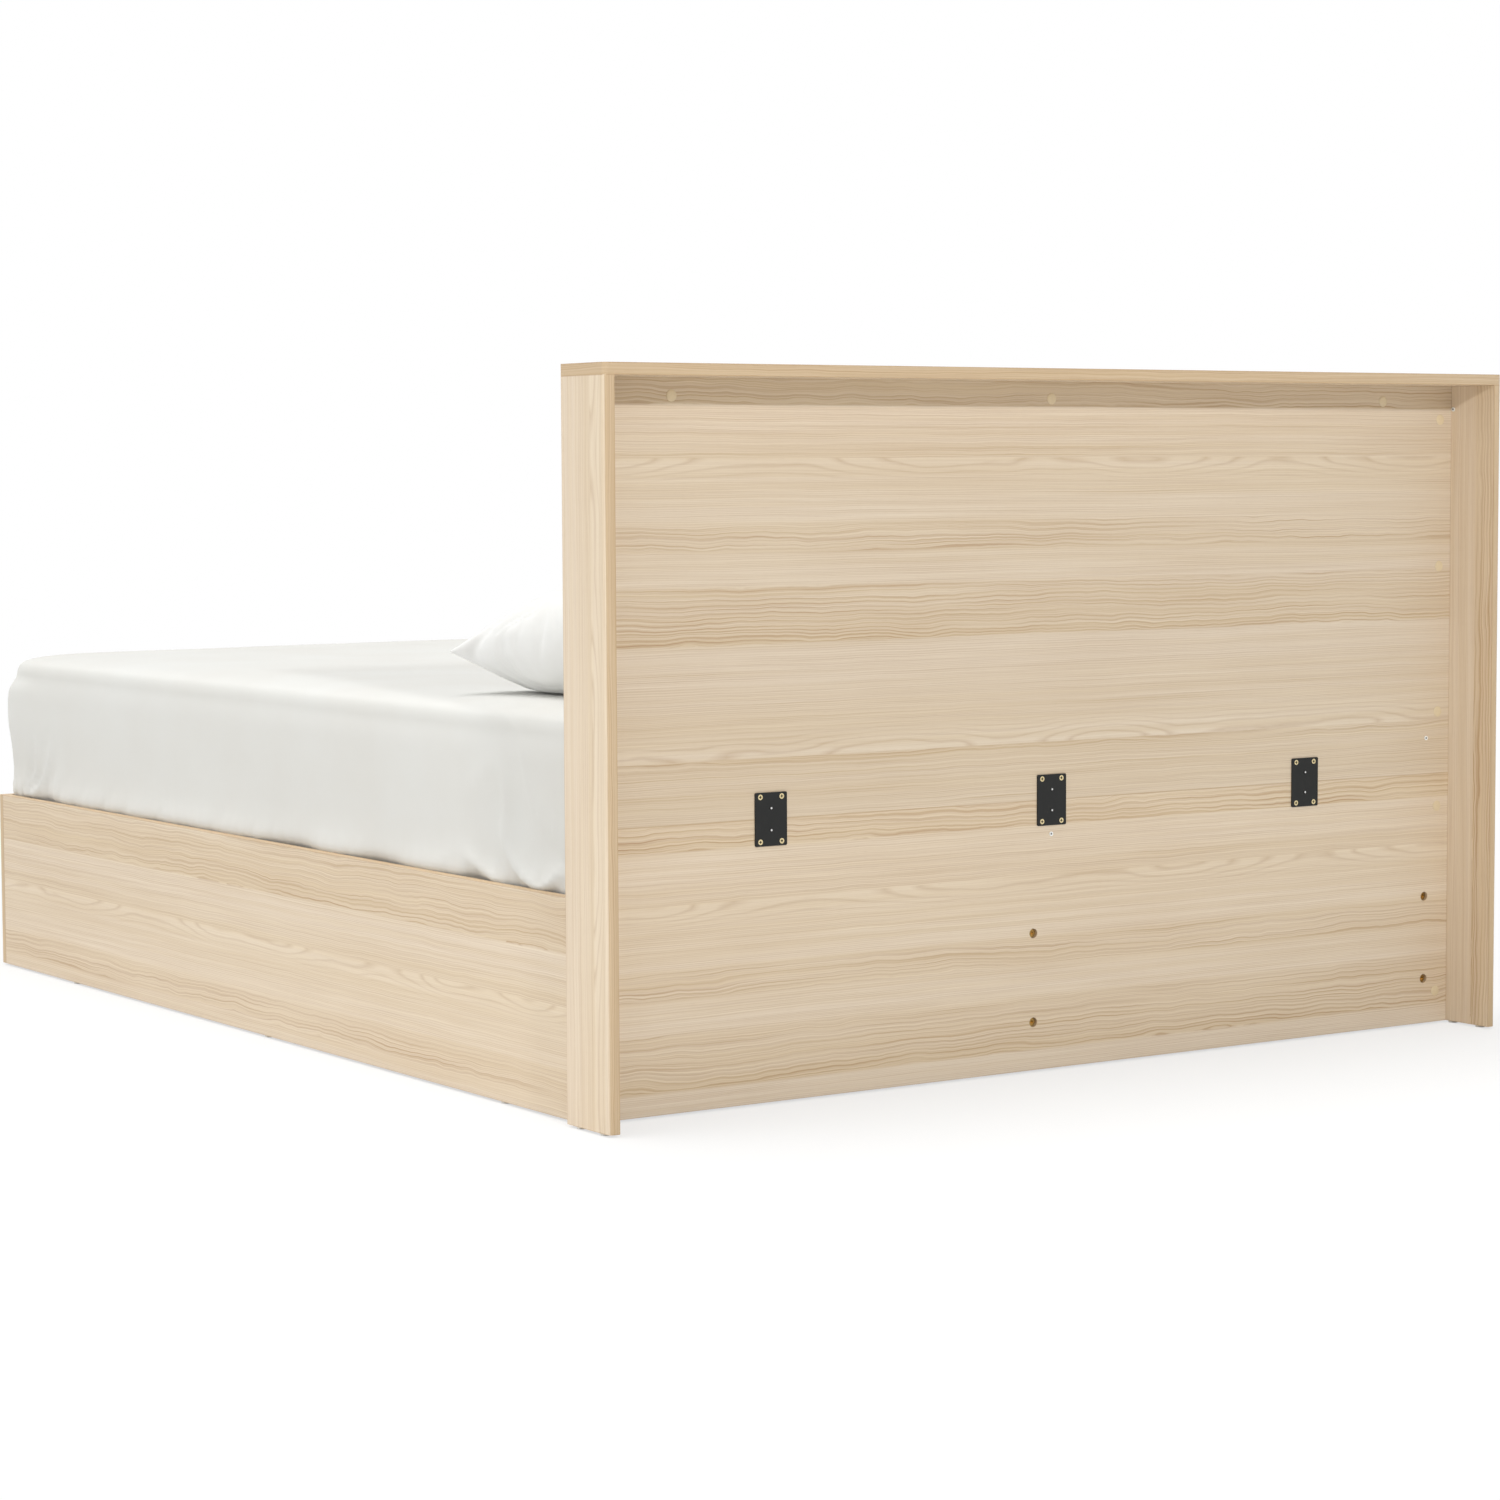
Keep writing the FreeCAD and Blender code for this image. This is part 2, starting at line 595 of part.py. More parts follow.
ledges = {
    "slat_ledge_near": (f"{rail_in} - ledge_width", rail_in, "-x", "side_rail"),
    "slat_ledge_centre_near": ("board / 2", "board / 2 + ledge_width", "+x", "centre_partition"),
    "slat_ledge_centre_far": ("-board / 2 - ledge_width", "-board / 2", "-x", "centre_partition"),
    "slat_ledge_far": (f"-{rail_in}", f"ledge_width - {rail_in}", "+x", "drawer_top_rail"),
}
ledge_screw, ledge_drill = countersunk("ledge_screw", "ledge_screw_length")
ledge_screw_shares = (-0.42, -0.21, 0.04, 0.25, 0.42)
screws = []
for name, (low, high, way, board) in ledges.items():
    for share in ledge_screw_shares:
        y = f"{cross_mid} + {share} * ({base_front} - {foot_in})"
        screws.append(((high if way == "+x" else low, y, ledge_mid), ALONG[way], name, board))
spots = [spot for spot, _, _, _ in screws]
turns = [turn for _, turn, _, _ in screws]
finish("ledge_screws", bundle("ledge_screws", copies("ledge_screws", ledge_screw, spots, turns)))
for tool, (_, _, ledge, board) in zip(copies("ledge_holes", ledge_drill, spots, turns), screws):
    drill(tool, ledge, board)
for name, (low, high, _, _) in ledges.items():
    finish(name, block(f"{name}_blank", (low, high), (foot_in, base_front), (ledge_low, ledge_top)))

# Slats lie across each half. Tapes under them keep them in step.

slat_pitch = f"(({panel_front} - {foot_in}) / slat_count)"
halves = {
    "near": ("slat_play", f"{rail_in} - slat_play"),
    "far": (f"slat_play - {rail_in}", "-slat_play"),
}
for half, long in halves.items():
    slats = []
    for number in range(int(sizes["slat_count"])):
        centre = f"{foot_in} + {number} * {slat_pitch} + {slat_pitch} / 2"
        wide = (f"{centre} - slat_width / 2", f"{centre} + slat_width / 2")
        slats.append(block(f"slat_{half}_{number}", long, wide, (ledge_top, slat_top)))
    finish(f"mattress_slats_{half}", bundle(f"mattress_slats_{half}", slats))
tape_shares = (-0.66, -0.34, 0.34, 0.66)
long = (f"{foot_in} + {slat_pitch} / 4", f"{panel_front} - {slat_pitch} / 4")
tapes = []
for number, share in enumerate(tape_shares):
    wide = (f"{share} * {rail_in} - tape_width / 2", f"{share} * {rail_in} + tape_width / 2")
    tapes.append(block(f"tape_{number}", wide, long, (f"{ledge_top} - tape_thickness", ledge_top)))
finish("slat_tapes", bundle("slat_tapes", tapes))

# Two drawers open towards -X on telescopic runners. Their fronts cover the far side of the base.

front_top = f"({ledge_low} - finger_gap)"
front_seam = f"({cross_mid} + board / 2)"
side_top = f"({ledge_low} - drawer_top_gap)"
runner_mid = f"((drawer_low + {side_top}) / 2)"
runner_start = f"(runner_setback - {rail_in})"
bottom_low = "(drawer_low + brace_height)"
bottom_top = f"({bottom_low} + drawer_bottom)"
box_start = f"-{rail_in}"
box_end = "(-board / 2 - drawer_rear_gap)"
runner_end = f"({box_end} - runner_rear_gap)"
step_in = "(runner_sheet + runner_play)"
bays = {
    "head": (f"{cross_mid} + board / 2", base_front),
    "foot": (foot_in, f"{cross_mid} - board / 2"),
}
fronts = {
    "head": (f"{front_seam} + front_play / 2", f"{panel_front} - front_play"),
    "foot": (f"{foot_in} + front_play", f"{front_seam} - front_play / 2"),
}


def off(face, sign, distance):
    """A place at a distance from a wall, on the side that the sign gives."""
    return f"({face} {sign} ({distance}))"


def across(face, sign, near, far):
    """The low and high places of two distances from a wall."""
    pair = (off(face, sign, near), off(face, sign, far))
    return pair if sign == "+" else pair[::-1]


def channel(name, face, sign, near, far, half_height, open_side):
    """A folded steel runner member, open away from its web."""
    run = (runner_start, runner_end)
    tall = (f"{runner_mid} - ({half_height})", f"{runner_mid} + ({half_height})")
    outer = block(f"{name}_outer", run, across(face, sign, near, far), tall)
    past = (f"{run[0]} - overrun", f"{run[1]} + overrun")
    inside = (f"{tall[0]} + runner_sheet", f"{tall[1]} - runner_sheet")
    if open_side == "inwards":
        room = across(face, sign, f"{near} + runner_sheet", f"{far} + overrun")
    else:
        room = across(face, sign, f"{near} - overrun", f"{far} - runner_sheet")
    return less(name, outer, block(f"{name}_hollow", past, room, inside))


drawer_screw, drawer_drill = countersunk("drawer_screw", "drawer_screw_length")
cabinet_members = []
for bay, (bay_low, bay_high) in bays.items():
    drawer = f"drawer_{bay}"
    walls = {"foot": (bay_low, "+"), "head": (bay_high, "-")}
    middle_members, inner_members, screws, places = [], [], [], []
    for side, (face, sign) in walls.items():
        tag = f"{drawer}_runner_{side}"
        mouth = "runner_depth - runner_play"
        half = "runner_height / 2"
        cabinet_members.append(channel(f"{tag}_cabinet", face, sign, "0", mouth, half, "inwards"))
        half = f"{half} - {step_in}"
        middle_members.append(channel(f"{tag}_mid", face, sign, step_in, mouth, half, "inwards"))
        half = f"{half} - {step_in}"
        inner = channel(f"{tag}_box", face, sign, f"2 * {step_in}", "runner_depth", half, "outwards")
        inner_members.append(inner)
        board = f"{drawer}_side_{side}"
        inside = "runner_depth + drawer_board"
        groove = block(
            f"{drawer}_groove_{side}",
            (f"{box_start} - overrun", f"{box_end} + overrun"),
            across(face, sign, f"{inside} - groove_depth", f"{inside} + overrun"),
            (bottom_low, bottom_top),
        )
        drill(groove, board)
        middle = off(face, sign, "runner_depth + drawer_board / 2")
        outside = off(face, sign, "runner_depth")
        turn = ALONG["-y" if sign == "+" else "+y"]
        for z in (f"{bottom_low} + drawer_fastener_inset", f"{side_top} - drawer_fastener_inset"):
            screws.append(((f"{box_end} - drawer_board / 2", outside, z), turn, board))
            places.append(((box_start, middle, z), "-x", board, f"{drawer}_front"))
    name = f"{drawer}_screws"
    spots = [spot for spot, _, _ in screws]
    turns = [turn for _, turn, _ in screws]
    finish(name, bundle(name, copies(name, drawer_screw, spots, turns)))
    for tool, (_, _, board) in zip(copies(f"{name}_holes", drawer_drill, spots, turns), screws):
        drill(tool, board, f"{drawer}_back")
    sizes_of_dowel = ("small_dowel_radius", "small_dowel_long", "small_dowel_short")
    dowels(f"{drawer}_dowels", *sizes_of_dowel, places)

    for side, (face, sign) in walls.items():
        board = across(face, sign, "runner_depth", "runner_depth + drawer_board")
        name = f"{drawer}_side_{side}"
        finish(name, block(f"{name}_blank", (box_start, box_end), board, ("drawer_low", side_top)))
    wide = (f"{bay_low} + runner_depth + drawer_board", f"{bay_high} - runner_depth - drawer_board")
    middle = f"({wide[0]} + {wide[1]}) / 2"
    brace = (f"{middle} - brace_width / 2", f"{middle} + brace_width / 2")
    tucked = (f"{wide[0]} - groove_depth + groove_play", f"{wide[1]} + groove_depth - groove_play")
    rest = {
        "front": ((f"-{rail_out}", box_start), fronts[bay], ("front_foot", front_top)),
        "back": ((f"{box_end} - drawer_board", box_end), wide, (bottom_top, side_top)),
        "bottom": ((box_start, box_end), tucked, (bottom_low, bottom_top)),
        "brace": ((box_start, box_end), brace, ("drawer_low", bottom_low)),
    }
    for piece, room in rest.items():
        finish(f"{drawer}_{piece}", block(f"{drawer}_{piece}_blank", *room))
    finish(f"{drawer}_runner_middle", bundle(f"{drawer}_runner_middle", middle_members))
    finish(f"{drawer}_runner_inner", bundle(f"{drawer}_runner_inner", inner_members))
finish("runner_cabinet_members", bundle("runner_cabinet_members", cabinet_members))

# The boards, which stand on glides unless they are carried higher up. Most are plain blocks.

stand = "glide_height"
depth = (panel_front, rear)
near_side = (end_in, "bed_width / 2")
far_side = ("-bed_width / 2", f"-{end_in}")
whole = ("-bed_width / 2", "bed_width / 2")
headboard_wide = (f"-{end_in}", end_in)
headboard_deep = (panel_front, panel_rear)
base_long = (foot_in, base_front)
base_wide = (f"-{rail_in}", rail_in)
cross_deep = (f"{cross_mid} - board / 2", f"{cross_mid} + board / 2")
foot_room = ((f"-{rail_out}", rail_out), (foot, foot_in), (stand, "rail_height"))
rounded = {
    "headboard_end_near": ((near_side, depth, (stand, top_under)), "rear_round", [(1, 1)]),
    "headboard_end_far": ((far_side, depth, (stand, top_under)), "rear_round", [(0, 1)]),
    "headboard_top_board": ((whole, depth, (top_under, "bed_height")), "rear_round", [(0, 1), (1, 1)]),
    "foot_panel": (foot_room, "foot_round", [(0, 0), (1, 0)]),
}
for name, (room, radius, edges) in rounded.items():
    finish(name, rounded_board(f"{name}_blank", *room, radius, edges))
boards = {
    "headboard_lower_panel": (headboard_wide, headboard_deep, (stand, "lower_panel_top")),
    "headboard_upper_panel": (headboard_wide, headboard_deep, ("lower_panel_top", top_under)),
    "side_rail": ((rail_in, rail_out), (foot_in, panel_front), (stand, "rail_height")),
    "drawer_top_rail": ((f"-{rail_out}", f"-{rail_in}"), (foot_in, panel_front), (ledge_low, "rail_height")),
    "base_head_panel": (base_wide, (base_front, panel_front), (stand, ledge_top)),
    "centre_partition": (("-board / 2", "board / 2"), base_long, (stand, ledge_top)),
    "drawer_gable": ((f"-{rail_in}", "-board / 2"), cross_deep, (stand, ledge_low)),
    "near_cross_board": (("board / 2", rail_in), cross_deep, (stand, ledge_low)),
}
for name, room in boards.items():
    finish(name, block(f"{name}_blank", *room))

side_glide_shares = (-0.7, 0, 0.7)
centre_glide_shares = (-0.8, -0.3, 0.3, 0.8)
gable_glide_shares = (-0.9, -0.5, 0.5)
spots = []
for sign in ("", "-"):
    middle = f"{sign}(bed_width / 2 - board / 2)"
    spots.append((middle, f"{panel_front} + glide_from_end", "0"))
    spots.append((middle, f"{rear} - glide_from_end", "0"))
    spots.append((f"{sign}({rail_mid} - glide_from_end)", f"{foot} + board / 2", "0"))
    spots.append((f"{sign}{rail_in} / 2", base_mid, "0"))
spots += [(rail_mid, f"{share} * {rear}", "0") for share in side_glide_shares]
spots += [("0", f"{share} * {rear}", "0") for share in centre_glide_shares]
spots += [(f"{share} * {rail_in}", cross_mid, "0") for share in gable_glide_shares]
glide_form = rod("glide_form", "glide_radius", "glide_height")
glides = copies("floor_glides", glide_form, spots, [Rotation()] * len(spots))
finish("floor_glides", bundle("floor_glides", glides))

# Soft pieces read their sizes from the sheet and are lofted through lines and arcs.


def size(alias):
    return float(sheet.get(alias))


def rounded_loop(low, high, z, radius):
    """A level rectangle with quarter-round corners."""
    slant = radius * (1 - math.sqrt(0.5))
    corners = [(high.x, high.y, -1, -1), (low.x, high.y, 1, -1), (low.x, low.y, 1, 1), (high.x, low.y, -1, 1)]
    arcs = []
    for number, (x, y, in_x, in_y) in enumerate(corners):
        ends = [Vector(x, y + in_y * radius, z), Vector(x + in_x * radius, y, z)]
        if number % 2:
            ends.reverse()
        arcs.append((ends[0], Vector(x + in_x * slant, y + in_y * slant, z), ends[1]))
    edges = []
    for number, (start, middle, end) in enumerate(arcs):
        edges.append(Part.Arc(start, middle, end).toShape())
        edges.append(Part.LineSegment(end, arcs[(number + 1) % 4][0]).toShape())
    return Part.Wire(edges)


# The mattress stands between the rails, swells above them, most at the foot, and is rounded over
# its upper edge up to a slight crown. Each row: share of the height, of the swell outwards and of
# the corner radius inwards.
mattress_row_shares = [
    (0.0, 0.0, 0.25),
    (0.02, 0.0, 0.1),
    (0.06, 0.0, 0.0),
    (0.18, 0.3, 0.0),
    (0.44, 0.6, 0.0),
    (0.58, 0.9, 0.0),
    (0.7, 1.0, 0.0),
    (0.8, 0.7, 0.0),
    (0.87, 0.3, 0.05),
    (0.92, 0.0, 0.17),
    (0.96, 0.0, 0.42),
    (0.985, 0.0, 0.9),
    (1.0, 0.0, 2.2),
]
mattress_low = size("rail_height") - size("deck_drop") + size("seat_play")
room_low = size("board") - size("bed_length") / 2
room_high = size("bed_length") / 2 - size("recess_depth") - size("board")
room_half = size("bed_width") / 2 - size("rail_inset") - size("board")
loops = []
for up, out, inward in mattress_row_shares:
    inset = inward * size("mattress_corner")
    half_wide = room_half - size("mattress_side_gap") + out * size("mattress_side_swell") - inset
    low_end = room_low + size("mattress_end_gap") - out * size("mattress_foot_swell") + inset
    low = Vector(-half_wide, low_end, 0)
    high = Vector(half_wide, room_high - size("mattress_end_gap") - inset, 0)
    height = mattress_low + up * size("mattress_height")
    loops.append(rounded_loop(low, high, height, size("mattress_corner")))
mattress = doc.addObject("Part::Feature", "mattress")
mattress.Shape = Part.makeLoft(loops, True, True)
nodes["mattress"] = mattress

# The pillow is full in the middle and thin at its edges, and its long sides are drawn in a little.
# Each row: share of half the length, of the thickness and of the depth.
pillow_row_shares = [
    (1.0, 0.12, 0.92),
    (0.985, 0.4, 0.955),
    (0.93, 0.68, 0.98),
    (0.75, 0.89, 0.97),
    (0.4, 0.98, 0.94),
    (0.0, 1.0, 0.93),
]


def lens(x, depth, thickness, edge):
    """An upright closed loop of two arcs, joined by short lines at its thin edges."""
    half, crown, lip = depth / 2, thickness / 2, edge / 2
    top = Part.Arc(Vector(x, -half, lip), Vector(x, 0, crown), Vector(x, half, lip))
    head = Part.LineSegment(Vector(x, half, lip), Vector(x, half, -lip))
    under = Part.Arc(Vector(x, half, -lip), Vector(x, 0, -crown), Vector(x, -half, -lip))
    tail = Part.LineSegment(Vector(x, -half, -lip), Vector(x, -half, lip))
    return Part.Wire([part.toShape() for part in (top, head, under, tail)])


half_length = size("pillow_length") / 2
mirrored = [(-along, thick, deep) for along, thick, deep in pillow_row_shares[:-1]]
sections = []
for along, thick, deep in mirrored + pillow_row_shares[::-1]:
    thickness = max(thick * size("pillow_thickness"), 2 * size("pillow_edge"))
    sections.append(lens(along * half_length, deep * size("pillow_depth"), thickness, size("pillow_edge")))
pillow = doc.addObject("Part::Feature", "pillow")
pillow.Shape = Part.makeLoft(sections, True, False)
tilt = Rotation(Vector(1, 0, 0), size("pillow_tilt_degrees"))
pillow.Placement = Placement(Vector(), tilt)
box = pillow.Shape.optimalBoundingBox(False, False)
seat = Vector(
    size("bed_width") / 2 - size("pillow_from_side") - half_length,
    room_high - size("seat_play") - box.YMax,
    mattress_low + size("mattress_height") + size("seat_play") - box.ZMin,
)
pillow.Placement = Placement(seat, tilt)
nodes["pillow"] = pillow

doc.recompute()
for piece in doc.Objects:
    if "Invalid" in piece.State or "Error" in piece.State:
        raise RuntimeError(f"{piece.Label} failed: {piece.State}")
for name, piece in nodes.items():
    piece.Label = name
    if piece.Shape.isNull() or not piece.Shape.isValid() or not piece.Shape.Solids:
        raise RuntimeError(f"{name} has no valid solid")
os.makedirs("parts", exist_ok=True)
for name, piece in nodes.items():
    piece.Shape.exportStep(f"parts/{name}.step")
print(len(nodes), "nodes,", sum(len(piece.Shape.Solids) for piece in nodes.values()), "solids")
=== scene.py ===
import math

import bmesh
import bpy
from mathutils import Matrix, Vector, noise


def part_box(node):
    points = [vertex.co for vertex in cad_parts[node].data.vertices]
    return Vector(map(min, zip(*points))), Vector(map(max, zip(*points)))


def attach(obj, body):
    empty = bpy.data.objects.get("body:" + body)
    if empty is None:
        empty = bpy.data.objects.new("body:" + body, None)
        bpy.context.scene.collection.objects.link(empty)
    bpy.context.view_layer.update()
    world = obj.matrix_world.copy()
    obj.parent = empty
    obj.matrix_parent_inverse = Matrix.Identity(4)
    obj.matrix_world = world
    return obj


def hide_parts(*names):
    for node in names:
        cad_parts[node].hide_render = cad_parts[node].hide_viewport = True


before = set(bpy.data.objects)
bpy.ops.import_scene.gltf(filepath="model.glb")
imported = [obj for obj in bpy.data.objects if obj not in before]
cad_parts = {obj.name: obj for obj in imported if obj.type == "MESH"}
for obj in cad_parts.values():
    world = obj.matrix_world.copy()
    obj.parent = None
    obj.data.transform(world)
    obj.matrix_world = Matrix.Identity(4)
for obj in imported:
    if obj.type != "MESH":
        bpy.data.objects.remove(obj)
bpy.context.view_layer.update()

# The camera stands behind the near end of the headboard, a little below the top board's height,
# and looks along the bed towards the foot. It is fitted to the edges of the headboard and of the
# near rail, with the height and width set and its view centred.

CAMERA_PLACE = Vector((3.2577, 5.0142, 0.8618))
yaw, pitch, roll = math.radians(33.921), math.radians(-4.385), math.radians(-0.285)
ahead = Vector((-math.sin(yaw) * math.cos(pitch), -math.cos(yaw) * math.cos(pitch), math.sin(pitch)))
level_right = Vector((-math.cos(yaw), math.sin(yaw), 0))
level_up = level_right.cross(ahead)
right = math.cos(roll) * level_right + math.sin(roll) * level_up
up = math.cos(roll) * level_up - math.sin(roll) * level_right
turned = Matrix((right, up, -ahead)).transposed().to_4x4()
camera = bpy.data.objects.new("camera", bpy.data.cameras.new("camera"))
camera.data.sensor_width = 36
camera.data.lens = 87.7
camera.matrix_world = Matrix.Translation(CAMERA_PLACE) @ turned
bpy.context.scene.collection.objects.link(camera)
bpy.context.scene.camera = camera
bpy.context.scene.view_settings.view_transform = "Standard"

# The studio: a white world that lights evenly, a broad lamp on the near side, one overhead and a
# small high one behind the headboard, which casts the top board's short shadow.


class Thread:
    """An output socket of a finish, on which arithmetic can be written."""

    def __init__(self, finish, socket):
        self.finish = finish
        self.socket = socket

    def __add__(self, other):
        return self.finish.maths("ADD", self, other)

    def __sub__(self, other):
        return self.finish.maths("SUBTRACT", self, other)

    def __rsub__(self, other):
        return self.finish.maths("SUBTRACT", other, self)

    def __mul__(self, other):
        return self.finish.maths("MULTIPLY", self, other)

    def __truediv__(self, other):
        return self.finish.maths("DIVIDE", self, other)

    def __rtruediv__(self, other):
        return self.finish.maths("DIVIDE", other, self)

    def __pow__(self, other):
        return self.finish.maths("POWER", self, other)

    def __rpow__(self, other):
        return self.finish.maths("POWER", other, self)

    def __gt__(self, other):
        return self.finish.maths("GREATER_THAN", self, other)

    def __lt__(self, other):
        return self.finish.maths("LESS_THAN", self, other)

    def __abs__(self):
        return self.finish.maths("ABSOLUTE", self)

    __radd__ = __add__
    __rmul__ = __mul__


class Finish:
    """The nodes of one material, or of the world."""

    def __init__(self, owner):
        self.owner = owner
        owner.use_nodes = True
        self.tree = owner.node_tree
        self.tree.nodes.clear()

    def node(self, kind, settings=None, inputs=None, out=0):
        """Makes a node, sets it, joins or fills its sockets and gives back one of its outputs."""
        made = self.tree.nodes.new("ShaderNode" + kind)
        for name, value in (settings or {}).items():
            if name == "stops":
                ramp = made.color_ramp
                for number, (place, tone) in enumerate(value):
                    stop = ramp.elements[number] if number < 2 else ramp.elements.new(place)
                    stop.position = place
                    stop.color = (tone, tone, tone, 1)
            else:
                setattr(made, name, value)
        for name, value in (inputs or {}).items():
            if isinstance(value, Thread):
                self.tree.links.new(value.socket, made.inputs[name])
            else:
                made.inputs[name].default_value = value
        return Thread(self, made.outputs[out]) if made.outputs else None

    def maths(self, operation, *values):
        return self.node("Math", {"operation": operation}, dict(enumerate(values)))

    def ramp(self, value, *stops):
        """Grey tones that turn evenly from one stop, a place and its tone, to the next."""
        return self.node("ValToRGB", {"stops": stops}, {"Fac": value})

    def blend(self, amount, low, high, kind="MIX"):
        """Two colours mixed. A Mix node takes colours in sockets 6 and 7, and output 2 is theirs."""
        settings = {"data_type": "RGBA", "blend_type": kind}
        return self.node("Mix", settings, {0: amount, 6: low, 7: high}, 2)

    def point(self, x, y, z=0.0):
        return self.node("CombineXYZ", None, {"X": x, "Y": y, "Z": z})

    def clouds(self, place, scale=1.0, detail=2.0, rough=0.5):
        inputs = {"Vector": place, "Scale": scale, "Detail": detail, "Roughness": rough}
        return self.node("TexNoise", None, inputs)

    def place(self, kind="Object"):
        """The three coordinates of a point of the piece, in metres, or of its Normal."""
        where = self.node("TexCoord", None, None, kind)
        return [self.node("SeparateXYZ", None, {"Vector": where}, axis) for axis in "XYZ"]

    def surface(self, colour, rough, height, strength, distance, others):
        """Ends a material in one shader over a bump, and gives the material back."""
        bump = self.node("Bump", None, {"Strength": strength, "Distance": distance, "Height": height})
        inputs = {"Base Color": colour, "Roughness": rough, "Normal": bump, **others}
        shader = self.node("BsdfPrincipled", None, inputs)
        self.node("OutputMaterial", None, {"Surface": shader})
        return self.owner


AMBIENT = 0.41
studio = Finish(bpy.data.worlds.new("studio"))
bpy.context.scene.world = studio.owner
seen = studio.node("LightPath", None, None, "Is Camera Ray")
mirrored = studio.node("LightPath", None, None, "Is Glossy Ray")
through = studio.node("LightPath", None, None, "Is Transmission Ray")
backdrop = studio.maths("MAXIMUM", seen, studio.maths("MAXIMUM", mirrored, through))
brightness = backdrop * (1 - AMBIENT) + AMBIENT
sky = studio.node("Background", None, {"Color": (1, 1, 1, 1), "Strength": brightness})
studio.node("OutputWorld", None, {"Surface": sky})


def lamp(name, kind, aim, place, energy, **settings):
    """A lamp that stands at a place and points at its aim."""
    made = bpy.data.objects.new(name, bpy.data.lights.new(name, kind))
    made.data.energy = energy
    for key, value in settings.items():
        setattr(made.data, key, value)
    made.location = place
    made.rotation_mode = "QUATERNION"
    made.rotation_quaternion = (Vector(aim) - Vector(place)).to_track_quat("-Z", "Y")
    bpy.context.scene.collection.objects.link(made)


lamp("lamp_behind", "AREA", (0, 0.94, 0.5), (1.5, 6.0, 3.0), 124, shape="DISK", size=0.28)
lamp("lamp_side", "SUN", (0, 0, 0), (8, -2.5, 3), 0.92, angle=math.radians(60))
lamp("lamp_above", "SUN", (0, 0, 0), (1, -1, 8), 2.28, angle=math.radians(40))

# The floor is one wide pale sheet that ends nowhere. The camera sees it as the white backdrop, and
# near the bed about a third of its own shade with it, so the bed's soft faint shadow stays on it.

FLOOR_RADIUS, FLOOR_DROP = 30, 0.0005
# The share of its own shade near the bed, and the distance that its fading is measured by
SHADE_SHARE, FADE_SCALE = 0.35, 6
bpy.ops.mesh.primitive_circle_add(
    vertices=64, radius=FLOOR_RADIUS, fill_type="NGON", location=(0, 0, -FLOOR_DROP)
)
floor = bpy.context.object
floor.name = "floor"
ground = Finish(bpy.data.materials.new("floor_white"))
flat_place = ground.point(*ground.place()[:2])
away = ground.node("VectorMath", {"operation": "LENGTH"}, {0: flat_place}, "Value")
near = ground.ramp(away / FADE_SCALE, (0.2, 1.0), (0.6, 0.0))
seen = ground.node("LightPath", None, None, "Is Camera Ray")
matt = ground.node("BsdfDiffuse", None, {"Color": (0.76, 0.76, 0.75, 1)})
white = ground.node("Emission", None, {"Color": (1, 1, 1, 1), "Strength": 1.0})
shown = ground.node("MixShader", None, {0: seen * (1 - near * SHADE_SHARE), 1: matt, 2: white})
ground.node("OutputMaterial", None, {"Surface": shown})
floor.data.materials.append(ground.owner)

# The boards are particle board in a printed ash laminate. The print is one wide sheet of planks
# laid edge to edge: plain pale stripes, stripes of strong wavy rings and cut-off arches of growth
# rings on some of the joints. Each board is sawn from another place of it.


def linear(red, green, blue):
    """The colour of a paint whose three parts are given from 0 to 255 as seen on a screen."""
    parts = [part / 255 for part in (red, green, blue)]
    return tuple(p / 12.92 if p < 0.04045 else ((p + 0.055) / 1.055) ** 2.4 for p in parts) + (1.0,)


PRINT_WIDTH = 0.635
# How tan each stripe of the print is, by its distance across the grain in millimetres
stripe_tones = (
    (0, 0.15), (44, 0.35), (69, 0.6), (71, 0.5), (106, 0.5), (150, 0.2), (158, 0.5),
    (196, 0.6), (205, 0.35), (242, 0.15), (244, 0.5), (300, 0.65), (319, 0.95), (322, 0.0),
    (360, 0.1), (396, 0.4), (450, 0.5), (474, 0.4), (477, 0.8), (490, 0.6), (557, 0.5), (560, 0.6),
    (626, 0.85), (634, 1.0), (635, 0.15),
)
# How strongly the growth rings show in each stripe
ring_strengths = (
    (0, 0.16), (68, 0.3), (71, 0.12), (157, 0.1), (162, 0.5), (194, 0.9), (200, 0.1),
    (242, 0.06), (245, 0.6), (300, 0.8), (319, 1.0), (322, 0.12), (392, 0.12), (472, 0.1),
    (476, 0.8), (488, 0.35), (556, 0.16), (560, 0.6), (618, 0.85), (634, 1.0), (635, 0.16),
)
WIDE_RINGS, FINE_RINGS, ARCH_RINGS = 0.0062, 0.0026, 0.0048
# The arches: the joint that they spring from, the side that they open to, how far they reach across
# the grain, and the place of their own clouds
arches = ((0.070, 1, 0.038, 2.3), (0.475, -1, 0.045, 8.9))
pale_ash = linear(224, 210, 190)
tan_ash = linear(215, 197, 168)
ring_brown = linear(168, 133, 96)
pale_ring = linear(234, 222, 202)


def stops(table):
    """A table of the print's width in millimetres, as places from 0 to 1."""
    return [(distance / 1000 / PRINT_WIDTH, value) for distance, value in table]


def growth_rings(finish, along, across, spacing, seed):
    """Thin dark lines a few millimetres apart, each with its own depth that changes along it."""
    uneven = finish.clouds(finish.point(along * 0.9, across * 60, seed), 1.0, 1.5) * 3.0
    phase = across / spacing + uneven
    saw = finish.maths("FRACT", phase)
    line = finish.ramp(saw, (0.0, 1.0), (0.16, 0.6), (0.42, 0.08), (0.6, 0.0), (0.8, 0.1), (1.0, 1.0))
    depth = finish.clouds(finish.point(along * 3.0, (phase - saw) * 5.3, seed), 1.0, 2.0)
    return line * finish.ramp(depth, (0.36, 0.15), (0.62, 1.0))


